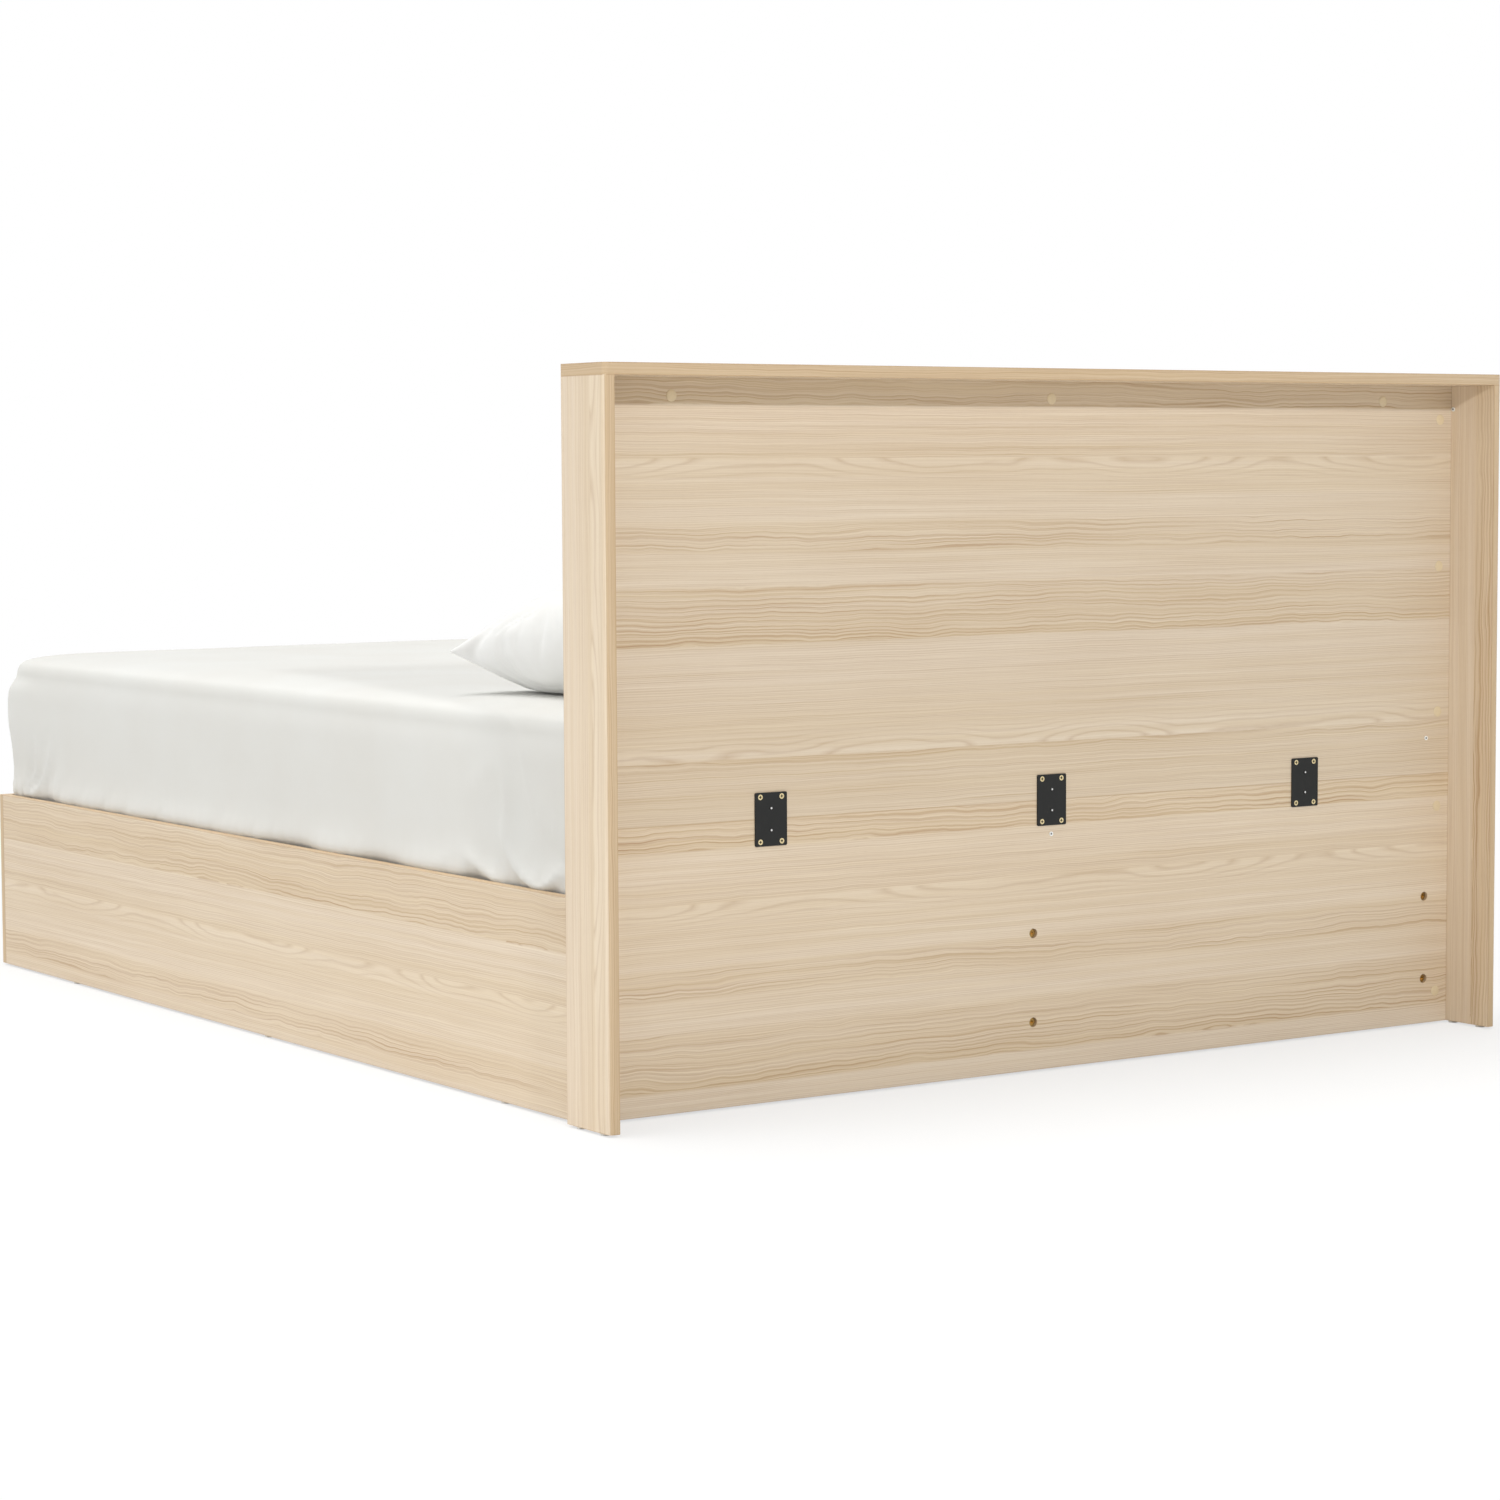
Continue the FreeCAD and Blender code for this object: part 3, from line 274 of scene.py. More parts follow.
def ash_print(finish, along, across):
    """The print's colour, its dark lines and its fibres, from the places along and across it."""
    stripe = finish.maths("FRACT", across / PRINT_WIDTH)
    tone = finish.ramp(stripe, *stops(stripe_tones))
    strength = finish.ramp(stripe, *stops(ring_strengths))

    # The rings sway in slow, quick and small steps, most where they are strong
    slow = finish.clouds(finish.point(along * 2.1, across * 7), 1.0, 1.5) - 0.5
    quick = finish.clouds(finish.point(along * 11, across * 16, 3.1), 1.0, 1.0) - 0.5
    kinks = finish.clouds(finish.point(along * 34, across * 30, 4.4), 1.0, 1.0) - 0.5
    sway = (slow * 0.030 + quick * 0.016 + kinks * 0.0042) * (strength * 0.92 + 0.08)
    swayed = across + sway
    rings = growth_rings(finish, along, swayed, WIDE_RINGS, 1.7)
    fine_rings = growth_rings(finish, along, swayed, FINE_RINGS, 6.1)
    fibre = finish.clouds(finish.point(along * 5, swayed * 1300, 5.3), 1.0, 2.0, 0.6)
    pores = finish.clouds(finish.point(along * 70, swayed * 2000, 7.9), 1.0, 1.0)

    bands = finish.clouds(finish.point(along * 0.9, swayed * 120, 2.9), 1.0, 2.0, 0.5)
    colour = finish.blend(tone + (bands - 0.5) * 1.5, pale_ash, tan_ash)
    streaks = finish.clouds(finish.point(along * 1.5, swayed * 420, 8.3), 1.0, 2.0, 0.6)
    colour = finish.blend(finish.ramp(streaks, (0.5, 0.0), (0.75, 0.45)), colour, pale_ring)
    lines = rings * strength * 0.66 + fine_rings * 0.34
    for joint, side, reach, seed in arches:
        off_joint = (stripe * PRINT_WIDTH - joint) * side
        depth = finish.clouds(finish.point(along * 2.6, seed), 1.0, 1.5) * 0.056
        bent = finish.clouds(finish.point(along * 11, across * 60, seed), 1.0, 1.5) * 0.004
        ring = ((off_joint * off_joint + depth * depth) ** 0.5 + bent) / ARCH_RINGS
        saw = finish.maths("FRACT", ring)
        arch = finish.ramp(saw, (0.0, 1.0), (0.12, 0.5), (0.3, 0.0), (0.8, 0.05), (1.0, 1.0))
        fade = finish.ramp(off_joint / reach, (0.0, 0.0), (0.02, 1.0), (0.4, 0.7), (1.0, 0.0))
        fade = fade * (off_joint > 0.0)
        lines = lines * (1 - fade) + arch * fade * 0.27
        colour = finish.blend(fade * (1 - arch) * 0.2, colour, pale_ring)
    blotch = finish.clouds(finish.point(along * 1.3, across * 5, 9.7), 1.0, 2.0)
    lines = lines + finish.ramp(blotch, (0.4, 0.0), (0.8, 0.10))
    lines = lines + finish.ramp(pores, (0.3, 1.0), (0.42, 0.0)) * 0.08
    lines = lines + finish.ramp(fibre, (0.3, 0.2), (0.5, 0.06), (0.7, 0.0))
    return finish.blend(lines, colour, ring_brown), lines, fibre


AXES = {"x": 0, "y": 1, "z": 2}
# Where the edge band is cut from the print and how wide its own edge shows, and then its tint
EDGE_STRIPE, EDGE_LINE = 0.490, 0.0009
edge_tan = (0.86, 0.79, 0.69, 1)


def laminate(name, grain, thin, offset, side, shift, tone):
    """The print on one board. Its edges are covered by a band cut from a plain tan stripe."""
    paint = Finish(bpy.data.materials.new(f"ash_laminate_{name}"))
    low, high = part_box(name)
    places, facing = paint.place(), paint.place("Normal")
    way, thick = AXES[grain], AXES[thin]
    wide = 3 - way - thick
    on_end = abs(facing[way]) > 0.7
    on_edge = abs(facing[thick]) < 0.7
    along = (places[way] + shift) * (1 - on_end) + places[wide] * on_end
    broad = places[wide] * side + offset
    banded = places[thick] + (EDGE_STRIPE - low[thick])
    across = broad * (1 - on_edge) + banded * on_edge
    colour, lines, fibre = ash_print(paint, along, across)
    tint = paint.blend(on_edge, (tone, tone, tone, 1), edge_tan)
    colour = paint.blend(1.0, colour, tint, "MULTIPLY")

    # The thin band glued round the board's edges shows as a darker hairline at each corner
    at_face = []
    for axis in range(3):
        middle, half = (low[axis] + high[axis]) / 2, (high[axis] - low[axis]) / 2
        at_face.append(abs(places[axis] - middle) > half - EDGE_LINE)
    corner = (at_face[0] + at_face[1] + at_face[2]) > 1.5
    colour = paint.blend(corner * 0.4, colour, ring_brown)
    rough = 0.46 + fibre * 0.08
    return paint.surface(colour, rough, fibre * 0.5 - lines, 0.25, 0.0002, {"Specular IOR Level": 0.3})


def cover(name, material):
    """Gives one material to every slot of a CAD piece."""
    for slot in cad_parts[name].material_slots:
        slot.material = material


# Name, grain, thin way, place across the print and its sense, place along the print, and the tone
# that makes the board lighter or darker, set by measure
boards = (
    ("headboard_upper_panel", "x", "y", 0.948, -1, 0.0, 0.95),
    ("headboard_lower_panel", "x", "y", 0.988, -1, 0.067, 1.015),
    ("headboard_top_board", "x", "z", 0.2, 1, 0.3, 1.0),
    ("headboard_end_near", "z", "x", -0.924, 1, 0.4, 1.04),
    ("headboard_end_far", "z", "x", 1.627, -1, 1.4, 1.07),
    ("side_rail", "y", "x", 0.223, -1, 0.9, 1.0),
    ("foot_panel", "x", "y", 0.223, -1, 0.5, 1.0),
    ("drawer_top_rail", "y", "x", 0.1, -1, 2.2, 1.0),
    ("base_head_panel", "x", "y", 0.7, -1, 3.1, 1.0),
    ("centre_partition", "y", "x", 0.45, -1, 1.1, 1.0),
    ("drawer_gable", "x", "y", 0.2, -1, 4.0, 1.0),
    ("near_cross_board", "x", "y", 0.35, -1, 4.6, 1.0),
    ("drawer_head_front", "y", "x", 0.06, -1, 2.2, 1.0),
    ("drawer_foot_front", "y", "x", 0.06, -1, 2.2, 1.0),
)
for name, *cut in boards:
    cover(name, laminate(name, *cut))

# The drawer boxes: sides, back and brace of thin board in a plain pale print, dowelled and screwed
# together, with a white-faced bottom sheet slid into their grooves.

# Near-black painted shade, put where the fittings' recesses, rims and slits lie in shade
DEEP_SHADE = (0.02, 0.017, 0.013, 1)


def plain(
    name, colour, rough=0.5, metal=0.0, grit=60.0, depth=0.0002, mottle=0.06, level=0.5, hollow_shade=None
):
    """A plain material whose colour and gloss vary a little and whose surface isn't quite flat.

    The last argument gives how much painted shade darkens a point, from 0 to 1."""
    paint = Finish(bpy.data.materials.new(name))
    cloud = paint.clouds(paint.point(*paint.place()), grit, 3.0, 0.6)
    darker = tuple(part * (1 - 2 * mottle) for part in colour[:3]) + (1.0,)
    base = paint.blend(paint.ramp(cloud, (0.3, 0.0), (0.7, 1.0)), darker, colour)
    if hollow_shade:
        base = paint.blend(hollow_shade(paint), base, DEEP_SHADE)
    gloss = rough - 0.06 + cloud * 0.12
    others = {"Metallic": metal, "Specular IOR Level": level}
    return paint.surface(base, gloss, cloud, 0.4, depth, others)


box_board = plain("drawer_board", linear(226, 220, 208), 0.5, grit=240.0)
box_bottom = plain("drawer_bottom_sheet", linear(232, 230, 224), 0.45, grit=320.0)
for bay in ("head", "foot"):
    for piece in ("side_head", "side_foot", "back", "brace"):
        cover(f"drawer_{bay}_{piece}", box_board)
    cover(f"drawer_{bay}_bottom", box_bottom)

# Ledges and slats are sawn pine with straight rings and a dry open face: the ledges are screwed to
# the base and the slats lie on them. The dowels, glued in, are turned from beech.


def sawn_wood(name, grain, pitch=90.0):
    """Sawn wood with rings along its grain, closer together the higher the pitch."""
    paint = Finish(bpy.data.materials.new(name))
    places = paint.place()
    along = places.pop(AXES[grain])
    side, up = places
    bend = paint.clouds(paint.point(along * 2, side * 4, up * 4), 1.0, 1.0) * 0.05
    rings = paint.clouds(paint.point(along * 0.8, (side + bend) * pitch, up * pitch), 1.0, 3.0)
    lines = paint.ramp(rings, (0.35, 1.0), (0.6, 0.0))
    fibre = paint.clouds(paint.point(along * 12, side * 900, up * 900), 1.0, 2.0)
    tone = paint.blend(lines * 0.55, linear(232, 205, 160), linear(198, 152, 98))
    tone = paint.blend(fibre * 0.2, tone, linear(240, 220, 184))
    rough = 0.62 + fibre * 0.1
    return paint.surface(tone, rough, fibre - lines * 0.5, 0.4, 0.0003, {"Specular IOR Level": 0.3})


ledge_pine, slat_pine = sawn_wood("pine_ledge", "y"), sawn_wood("pine_slat", "x", 60.0)
for name in ("near", "centre_near", "centre_far", "far"):
    cover(f"slat_ledge_{name}", ledge_pine)
for name in ("mattress_slats_near", "mattress_slats_far"):
    cover(name, slat_pine)
dowel_wood = sawn_wood("beech_dowel", "x", 140.0)
for name in ("headboard_dowels", "base_dowels", "drawer_head_dowels", "drawer_foot_dowels"):
    cover(name, dowel_wood)

# Metal and plastic fittings. The joining plates are powder-coated black and screwed over the seam;
# their screws are plated yellow and the pins between them bright. The white pins are pressed in.
# The dark in the screws' cross recesses, round the bright pins and in the white pins' slits is
# painted shade.

PLATE_PITCH, SEAM_HEIGHT = 0.485, 0.390
# How far a plate's screws stand off its middle, across and up, and its bright pins up
PLATE_SCREWS, PLATE_PINS = (0.0175, 0.0305), 0.015
# The cross recess's reach and half width, the hole in its middle, and a pin inside its rim: the
# recess, the hole and the rim are painted shade
CROSS_REACH, CROSS_HALF, CROSS_HOLE, PIN_FACE = 0.0021, 0.0007, 0.0012, 0.0013
# The white pins on the panels, across and up, and on the end boards, along and up
PANEL_PINS_ACROSS, PANEL_PINS_UP, END_PIN = 0.736, (0.445, 0.341), (0.9442, 0.949)
SLIT_RADIUS = 0.0016


def from_axis(first, second):
    """How far a point is from an axis, by its two distances across it."""
    return (first * first + second * second) ** 0.5


def from_plate(paint):
    """How far a point is across and up from the middle of the nearest joining plate."""
    x, _, z = paint.place()
    return paint.maths("WRAP", x, PLATE_PITCH / 2, -PLATE_PITCH / 2), abs(z - SEAM_HEIGHT)


def screw_recess_shade(paint):
    """Painted shade in the cross recess and the middle hole of each of the four screws of a joining
    plate.
    """
    across, up = from_plate(paint)
    across, up = abs(across) - PLATE_SCREWS[0], up - PLATE_SCREWS[1]
    off_screw = from_axis(across, up)
    cross = ((abs(across) < CROSS_HALF) + (abs(up) < CROSS_HALF)) > 0.5
    return (off_screw < CROSS_REACH) * cross + (off_screw < CROSS_HOLE) * 0.5


def pin_rim_shade(paint):
    """A ring of painted shade round each bright pin of a joining plate."""
    across, up = from_plate(paint)
    return (from_axis(across, up - PLATE_PINS) > PIN_FACE) * 0.9


def pin_slit_shade(paint):
    """Painted shade in the slit in the middle of each white pin, on the panels and on the end boards.
    """
    x, y, z = paint.place()
    aside = paint.maths("MINIMUM", abs(x), abs(abs(x) - PANEL_PINS_ACROSS))
    above = paint.maths("MINIMUM", *(abs(z - height) for height in PANEL_PINS_UP))
    on_panel = from_axis(aside, above) < SLIT_RADIUS
    on_end = from_axis(y - END_PIN[0], z - END_PIN[1]) < SLIT_RADIUS
    return (on_panel + on_end) * 0.85


black_coat = plain("black_powder_coat", linear(26, 27, 27), 0.5, grit=1400.0, mottle=0.18, level=0.3)
yellow_zinc = plain("yellow_zinc", linear(196, 172, 112), 0.3, 1.0, grit=900.0)
recessed_zinc = plain(
    "yellow_zinc_recessed", linear(226, 209, 164), 0.3, 1.0, grit=900.0, hollow_shade=screw_recess_shade
)
pin_zinc = plain("bright_zinc_pin", linear(225, 226, 226), 0.25, 1.0, grit=700.0, hollow_shade=pin_rim_shade)
bright_zinc = plain("bright_zinc", linear(205, 207, 208), 0.28, 1.0, grit=700.0)
die_cast = plain("die_cast_zinc", linear(168, 170, 172), 0.45, 1.0, grit=500.0)
bolt_brass = plain("bolt_brass", linear(172, 140, 84), 0.36, 1.0, grit=500.0)
cap_tan = plain("cap_plastic", linear(218, 200, 166), 0.4, grit=500.0, mottle=0.03)
white_plastic = plain(
    "white_plastic", linear(246, 246, 244), 0.35, grit=500.0, mottle=0.03, hollow_shade=pin_slit_shade
)
glide_grey = plain("glide_plastic", linear(222, 219, 212), 0.5, grit=500.0)
web = plain("woven_tape", linear(224, 222, 214), 0.85, grit=1100.0, depth=0.0006)
fittings = {
    "joining_plates": black_coat,
    "plate_screws": recessed_zinc,
    "plate_pins": pin_zinc,
    "ledge_screws": yellow_zinc,
    "bracket_screws": bright_zinc,
    "corner_brackets": bright_zinc,
    "cam_locks": die_cast,
    "cam_bolts": bright_zinc,
    "cam_cover_caps": cap_tan,
    "bed_bolts": bolt_brass,
    "bolt_inserts": bolt_brass,
    "white_panel_pins": white_plastic,
    "floor_glides": glide_grey,
    "slat_tapes": web,
    "runner_cabinet_members": bright_zinc,
}
for bay in ("head", "foot"):
    fittings[f"drawer_{bay}_runner_inner"] = bright_zinc
    fittings[f"drawer_{bay}_runner_middle"] = bright_zinc
    fittings[f"drawer_{bay}_screws"] = yellow_zinc
for name, material in fittings.items():
    cover(name, material)

# Cover caps of the cam locks: small plastic discs with a shallow dome and a rounded rim, pressed
# into the locks. Thirteen of them stand along the panels' edges.

CAP_SIDES, PANEL_BACK = 40, 0.940
# From the dome's middle over its rim to the back: radius and how far out, in millimetres
cap_profile = (
    (0.0, 1.15), (2.6, 1.12), (4.6, 1.02), (6.0, 0.86), (6.9, 0.70), (7.15, 0.52), (7.45, 0.62),
    (7.75, 0.55), (7.95, 0.34), (8.0, 0.06), (6.5, 0.06), (6.5, -0.8), (0.0, -0.8),
)
cap_rows = len(cap_profile) - 2
cap_places = [(x, z) for x in (-0.760, 0.760) for z in (0.051, 0.339, 0.485, 0.709, 0.933)]
cap_places += [(x, 0.960) for x in (-0.640, 0.0, 0.640)]
cap_points, cap_faces = [], []
for cap_x, cap_z in cap_places:
    first = len(cap_points)
    last = first + (cap_rows - 1) * CAP_SIDES
    for radius, proud in cap_profile[1:-1]:
        for side in range(CAP_SIDES):
            angle = 2 * math.pi * side / CAP_SIDES
            place = (cap_x + radius / 1000 * math.cos(angle), PANEL_BACK + proud / 1000)
            cap_points.append(Vector((*place, cap_z + radius / 1000 * math.sin(angle))))
    for row in range(cap_rows - 1):
        here = first + row * CAP_SIDES
        there = here + CAP_SIDES
        for side in range(CAP_SIDES):
            after = (side + 1) % CAP_SIDES
            cap_faces.append((here + side, here + after, there + after, there + side))
    front, back = len(cap_points), len(cap_points) + 1
    cap_points.append(Vector((cap_x, PANEL_BACK + cap_profile[0][1] / 1000, cap_z)))
    cap_points.append(Vector((cap_x, PANEL_BACK + cap_profile[-1][1] / 1000, cap_z)))
    for side in range(CAP_SIDES):
        after = (side + 1) % CAP_SIDES
        cap_faces.append((front, first + after, first + side))
        cap_faces.append((last + side, last + after, back))


def piece_from(name, points, faces, material):
    """A mesh piece with smooth shading, which stays with the bed itself."""
    mesh = bpy.data.meshes.new(name)
    mesh.from_pydata(points, [], faces)
    mesh.update()
    bm = bmesh.new()
    bm.from_mesh(mesh)
    bmesh.ops.recalc_face_normals(bm, faces=bm.faces)
    bm.to_mesh(mesh)
    bm.free()
    for face in mesh.polygons:
        face.use_smooth = True
    made = bpy.data.objects.new(name, mesh)
    bpy.context.scene.collection.objects.link(made)
    made.data.materials.append(material)
    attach(made, "frame")
    return made


caps = piece_from("domed_cover_caps", cap_points, cap_faces, cap_tan)
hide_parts("cam_cover_caps")

# The mattress in its fitted sheet. The sheet is drawn tight over the top and the upper edge, hangs
# smooth down the sides, and its elastic gathers it into small folds at the lower corners.

NEAR_X, FOOT_Y, HEAD_Y = 0.760, -1.0085, 0.9175
# Height, how far the sheet stands out at the foot and at the sides, and its corners' radius, in
# millimetres
sheet_rows = (
    (284.5, -16, -14, 12), (288, -8, -6, 12), (292, -4, 0, 12), (297, -2, 4, 12), (302, 0, 7, 12),
    (307, 2, 8, 12), (313, 4, 7, 12), (320, 7, 6, 12), (328, 9, 4, 13), (337, 11, 3, 14),
    (348, 13, 2, 16), (362, 15, 2, 18), (380, 16, 2, 20), (400, 18, 2, 20), (420, 21, 3, 20),
    (436, 24, 3, 20), (452, 25, 3, 20), (468, 24, 3, 20), (480, 21, 3, 20), (490, 17, 2, 21),
    (498, 13, 1, 22), (505, 9, 0, 22), (511, 7, 0, 23), (517, 6, 0, 24), (522, 5, -1, 25),
    (526, 4, -2, 26), (530, 3, -4, 28), (533, 2, -7, 30), (536, 1, -12, 32), (538.5, -1, -19, 33),
    (541, -4, -28, 36), (543, -8, -40, 39), (545, -15, -57, 43), (547, -29, -80, 48),
    (549, -64, -116, 56),
)
LONG_STEPS, SHORT_STEPS, CORNER_STEPS = 300, 230, 12
# The last rows turn into the top, which goes on inward in steps from its inset to near its middle
TURNED_ROWS, TOP_STEPS, TOP_INSET, TOP_MIDDLE = 10, 18, 0.120, 0.012
# Its height, the dip in its middle, and its rings' corner radius from the first to the last
TOP_HEIGHT, TOP_DIP, TOP_RADIUS, LEAST_RADIUS = 0.549, 0.003, 0.058, 0.004
HEM_HEIGHT = 0.296
# Where the folds fan out from, across, along and up, and how far they reach
fans = (
    (0.0, -0.995, 0.296, 0.26), (0.0, 0.925, 0.290, 0.46),
    (-0.748, 0.0, 0.296, 0.26), (0.748, 0.0, 0.296, 0.26),
)
# Middle and half length along the bed of the places where the hem is drawn in, by the near rail
tucks = ((0.055, 0.120), (0.330, 0.095), (0.620, 0.060), (-0.860, 0.060))
TUCK_DEPTH = 0.009


def smooth(value, low, high):
    """0 below low, 1 above high and an even turn between them."""
    part = min(max((value - low) / (high - low), 0.0), 1.0)
    return part * part * (3 - 2 * part)


def sheet_ring(z, foot_out, side_out, radius):
    """Points round the mattress at one height, from the head end's near corner."""
    high_x, low_y, high_y = NEAR_X + side_out, FOOT_Y - foot_out, HEAD_Y + min(side_out, 0.0)
    corners = (
        (high_x - radius, high_y - radius, 90), (high_x - radius, low_y + radius, 0),
        (radius - high_x, low_y + radius, -90), (radius - high_x, high_y - radius, -180),
    )

    def rounded(x, y, degrees):
        angle = math.radians(degrees)
        return Vector((x + radius * math.cos(angle), y + radius * math.sin(angle), z))

    points = []
    for number, (x, y, start) in enumerate(corners):
        for step in range(CORNER_STEPS + 1):
            points.append(rounded(x, y, start - 90 * step / CORNER_STEPS))
        begin, end = points[-1], rounded(*corners[(number + 1) % 4])
        steps = SHORT_STEPS if number % 2 else LONG_STEPS
        for step in range(1, steps):
            points.append(begin.lerp(end, step / steps))
    return points


def sheet_shift(point, outward):
    """How far the sheet stands from its smooth form at a point."""
    x, y, z = point
    wide = noise.noise(Vector((x * 2.1, y * 2.1, z * 3.0 + 4.0))) * 0.0022
    soft = noise.noise(Vector((x * 5.0, y * 5.0, z * 4.0))) * 0.0006
    on_side = abs(outward.x) > 0.7
    run = y if on_side else x
    up = max(z - HEM_HEIGHT, 0.0)
    # The corners of the upholstery stand a little proud under its stretched upper edge
    swell = 0.006 * smooth(-y, 0.88, 1.0) * smooth(abs(x), 0.62, 0.75)
    swell *= smooth(z, 0.33, 0.42) * (1 - smooth(z, 0.485, 0.512))
    # The elastic gathers the hem into small pleats, deepest at the corners
    corner = max(smooth(-y, 0.84, 0.99) * smooth(abs(x), 0.60, 0.74), smooth(y, 0.70, 0.92) * 0.6)
    bend = noise.noise(Vector((run * 7, up * 12, 1.0)))
    pleat = abs(math.sin(run * 105 + 2.4 * bend))
    gathers = (pleat ** 0.7 - 0.75) * 0.007 * math.exp(-up / 0.022) * (0.25 + 0.75 * corner)
    # Slack folds fan out from each lower corner, and fade where they would run steeply
    folds = 0.0
    for fan_x, fan_y, fan_z, far in fans:
        if on_side == (fan_x == 0.0):
            away = abs(run - (fan_y if on_side else fan_x))
            reach = math.hypot(away, z - fan_z)
            turn = math.atan2(z - fan_z, away)
            wave = math.sin(turn * 9 + 4 * noise.noise(Vector((reach * 7, turn * 2, fan_y + x))))
            strength = smooth(reach, 0.01, 0.06) * (1 - smooth(reach, far * 0.4, far))
            strength *= 1 - smooth(turn, 0.65, 1.05)
            folds += (0.5 - abs(wave) ** 0.6) * 0.0075 * strength
    # Tucks draw the hem in along the near rail
    drawn = 0.0
    if on_side and x > 0:
        for middle, half in tucks:
            tuck = 1 - smooth(abs(run - middle), half * 0.1, half)
            drawn -= TUCK_DEPTH * tuck * math.exp(-up / 0.018)
    slant = noise.noise(Vector(((run - up * 1.1) * 9.0, (run + up) * 1.5, x + 7.0)))
    slack = (abs(slant) ** 0.6 - 0.35) * 0.006 * math.exp(-up / 0.035)
    return wide + soft + swell + gathers + folds + drawn + slack


rings = []
for z, foot_out, side_out, radius in sheet_rows:
    rings.append(sheet_ring(z / 1000, foot_out / 1000, side_out / 1000, radius / 1000))
for step in range(1, TOP_STEPS + 1):
    share = step / TOP_STEPS
    inset = TOP_INSET + (NEAR_X - TOP_MIDDLE - TOP_INSET) * share
    crown = TOP_HEIGHT - TOP_DIP * smooth(share, 0.0, 0.6)
    rings.append(sheet_ring(crown, -inset, -inset, max(TOP_RADIUS * (1 - share), LEAST_RADIUS)))
width = len(rings[0])
sheet_points, sheet_faces = [], []
for number, ring in enumerate(rings):
    for step, point in enumerate(ring):
        before, after = ring[step - 1], ring[(step + 1) % width]
        tangent = (after - before).normalized()
        outward = Vector((-tangent.y, tangent.x, 0))
        if outward.dot(Vector((point.x, point.y, 0))) < 0:
            outward = -outward
        top = smooth(number, len(sheet_rows) - TURNED_ROWS, len(sheet_rows))
        way = (outward * (1 - top) + Vector((0, 0, 1)) * top).normalized()
        shift = sheet_shift(point, outward) * smooth(point.z, 0.284, 0.297)
        # Nothing stands out towards the headboard, and the stretched top stays nearly flat
        if point.y > 0.86 and top < 0.5:
            shift = min(shift, 0.0) - 0.001
        if top > 0.5:
            shift = min(max(shift * 0.9, -0.004), 0.003)
        sheet_points.append(point + way * shift)
for number in range(len(rings) - 1):
    here, there = number * width, (number + 1) * width
    for step in range(width):
        after = (step + 1) % width
        sheet_faces.append((here + step, here + after, there + after, there + step))
sheet_faces.append(tuple(range(width)))
sheet_faces.append(tuple(reversed(range(len(sheet_points) - width, len(sheet_points)))))


def cotton(name, colour, shade, crease):
    """Plain woven cotton, with fine creases and a soft nap."""
    paint = Finish(bpy.data.materials.new(name))
    x, y, z = paint.place()
    where = paint.point(x, y, z)
    warp = paint.node("TexWave", {"bands_direction": "DIAGONAL"}, {
        "Vector": where, "Scale": 900.0, "Distortion": 1.5, "Detail": 1.0,
    })
    broad = paint.clouds(where, 5.0, 3.0)
    creases = paint.clouds(paint.point(x * 1.3, y, z * 1.6), 22.0, 4.0, 0.55)
    base = paint.blend(paint.ramp(broad, (0.35, 0.0), (0.7, 1.0)), shade, colour)
    base = paint.blend(warp * 0.06, base, shade)
    height = creases * crease + warp * 0.02
    nap = {"Specular IOR Level": 0.2, "Sheen Weight": 0.12, "Sheen Roughness": 0.4}
    return paint.surface(base, 0.82 + warp * 0.08, height, 0.5, 0.004, nap)


sheet_white = cotton("fitted_sheet_cotton", linear(216, 216, 212), linear(213, 212, 207), 0.10)
mattress = piece_from("mattress_in_fitted_sheet", sheet_points, sheet_faces, sheet_white)
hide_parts("mattress")

# The pillow: a cotton case sewn on three sides round a soft filling. It lies against the headboard,
# its edge raised where it leans, and its corners are thin and pointed.

# The case as it is cut, and the filled pillow's length, depth and thickness
CASE_CUT = (0.740, 0.530)
PILLOW_SIZE = (0.682, 0.457, 0.158)
CASE_COLUMNS, CASE_ROWS = 100, 72
# Half the width of the headboard, and how far the pillow's near end lies in from there
HEADBOARD_REACH, PILLOW_INSET = 0.8, 0.0795
# How far its corners' thinning and the creases from them reach, their lift and the creases' depth
CORNER_REACH, CREASE_REACH, CORNER_LIFT, CREASE_DEPTH = 0.190, 0.27, 0.009, 0.0085
# How far it leans, how much of its underside is pressed flat, and how softly that begins
LEAN, PRESSED, SOFTNESS = math.radians(8.2), 0.016, 0.008
case_points, case_faces, point_numbers = [], [], {}


def case_point(side, row, column):
    """The number of a point of the case. Both sheets share the points of their seam."""
    seam = row in (0, CASE_ROWS) or column in (0, CASE_COLUMNS)
    key = (0 if seam else side, row, column)
    if key not in point_numbers:
        u, v = column / CASE_COLUMNS * 2 - 1, row / CASE_ROWS * 2 - 1
        loft = 0 if seam else side * 0.012 * (1 - u ** 4) * (1 - v ** 4)
        ruffle = 0 if seam else 0.0024 * noise.noise(Vector((u * 4.3, v * 3.7, side * 3.3)))
        point_numbers[key] = len(case_points)
        case_points.append(Vector((u * CASE_CUT[0] / 2, v * CASE_CUT[1] / 2, loft + ruffle)))
    return point_numbers[key]


for side in (1, -1):
    for row in range(CASE_ROWS):
        for column in range(CASE_COLUMNS):
            quad = [
                case_point(side, row, column), case_point(side, row, column + 1),
                case_point(side, row + 1, column + 1), case_point(side, row + 1, column),
            ]
            case_faces.append(quad[::side])
pillow_white = cotton("pillow_case_cotton", linear(234, 234, 232), linear(230, 230, 227), 0.14)
pillow = piece_from("pillow_in_case", case_points, case_faces, pillow_white)


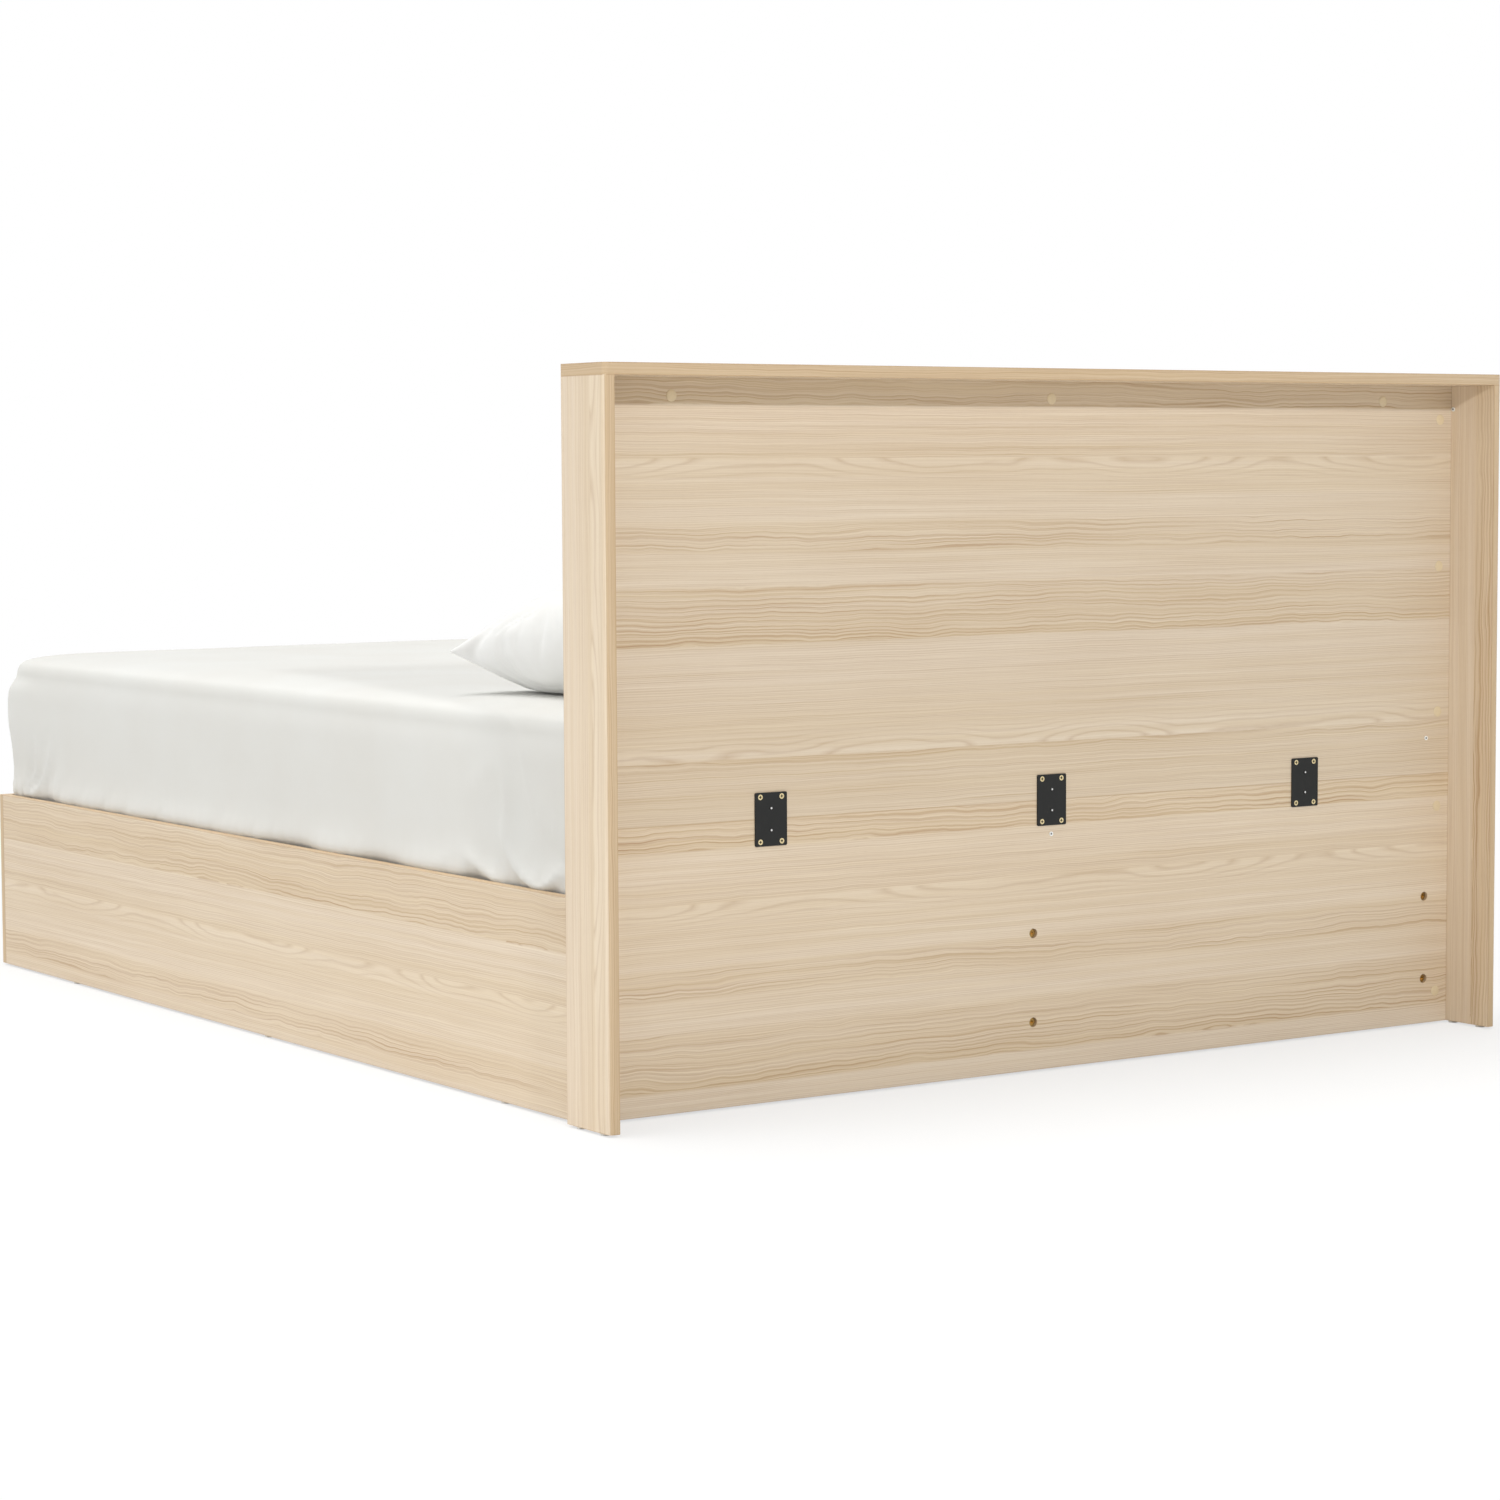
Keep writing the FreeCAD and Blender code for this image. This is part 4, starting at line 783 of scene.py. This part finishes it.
def blow_up(case, pressure, frames):
    """Fills the sewn case by a cloth simulation and keeps the shape that it takes."""
    cloth = case.modifiers.new("cloth", "CLOTH")
    fabric = cloth.settings
    fabric.quality = 6
    fabric.mass = 0.2
    fabric.air_damping = 1.5
    fabric.tension_stiffness = 20
    fabric.compression_stiffness = 2
    fabric.shear_stiffness = 5
    fabric.bending_stiffness = 0.05
    fabric.use_pressure = True
    fabric.uniform_pressure_force = pressure
    fabric.effector_weights.gravity = 0
    scene = bpy.context.scene
    for number in range(1, frames + 1):
        scene.frame_set(number)
        graph = bpy.context.evaluated_depsgraph_get()
    filled = [vertex.co.copy() for vertex in case.evaluated_get(graph).data.vertices]
    case.modifiers.remove(cloth)
    scene.frame_set(1)
    for vertex, place in zip(case.data.vertices, filled):
        vertex.co = place
    bm = bmesh.new()
    bm.from_mesh(case.data)
    for _ in range(2):
        bmesh.ops.smooth_vert(
            bm, verts=bm.verts, factor=0.5, use_axis_x=True, use_axis_y=True, use_axis_z=True
        )
    bm.to_mesh(case.data)
    bm.free()


blow_up(pillow, 9.0, 12)

# The filled pillow is brought to its size, and its mesh made finer
for axis in range(3):
    values = [vertex.co[axis] for vertex in pillow.data.vertices]
    middle, reach = (max(values) + min(values)) / 2, max(values) - min(values)
    for vertex in pillow.data.vertices:
        vertex.co[axis] = (vertex.co[axis] - middle) * PILLOW_SIZE[axis] / reach
softened = pillow.modifiers.new("softened", "SUBSURF")
softened.levels = 1
graph = bpy.context.evaluated_depsgraph_get()
finer = bpy.data.meshes.new_from_object(pillow.evaluated_get(graph))
pillow.modifiers.clear()
pillow.data = finer

# Its corners are thin and a little raised, and creases of the case run out from each
for vertex in pillow.data.vertices:
    x, y, z = vertex.co
    off_end, off_edge = PILLOW_SIZE[0] / 2 - abs(x), PILLOW_SIZE[1] / 2 - abs(y)
    reach, turn = math.hypot(off_end, off_edge), math.atan2(off_edge, off_end)
    fullness = 0.72 + 0.37 * smooth(reach, 0, CORNER_REACH) - 0.09 * smooth(reach, 0.200, 0.342)
    crease = math.sin(turn * 15 + 4 * noise.noise(Vector((x * 8, y * 8, z * 8))))
    crease = (0.5 - abs(crease) ** 0.6) * CREASE_DEPTH * smooth(reach, 0.010, 0.09)
    crease *= (1 - smooth(reach, 0.12, CREASE_REACH)) * smooth(abs(z), 0.001, 0.010)
    raised = CORNER_LIFT * (1 - smooth(reach, 0, CORNER_REACH))
    vertex.co.z = z * fullness + raised + math.copysign(crease, z)

# It is tilted against the headboard and pressed flat where it lies
lean = Matrix.Rotation(LEAN, 4, "X")
for vertex in pillow.data.vertices:
    vertex.co = lean @ vertex.co
pillow_low, pillow_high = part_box("pillow")
lowest = min(vertex.co.z for vertex in pillow.data.vertices)
rear = max(vertex.co.y for vertex in pillow.data.vertices)
middle_x = HEADBOARD_REACH - PILLOW_INSET - PILLOW_SIZE[0] / 2
for vertex in pillow.data.vertices:
    x, y, z = vertex.co
    height = z - lowest - PRESSED
    if height < SOFTNESS:
        height = SOFTNESS * math.exp((height - SOFTNESS) / SOFTNESS)
    vertex.co = Vector((x + middle_x, y + pillow_high.y - rear, pillow_low.z + height))
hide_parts("pillow")
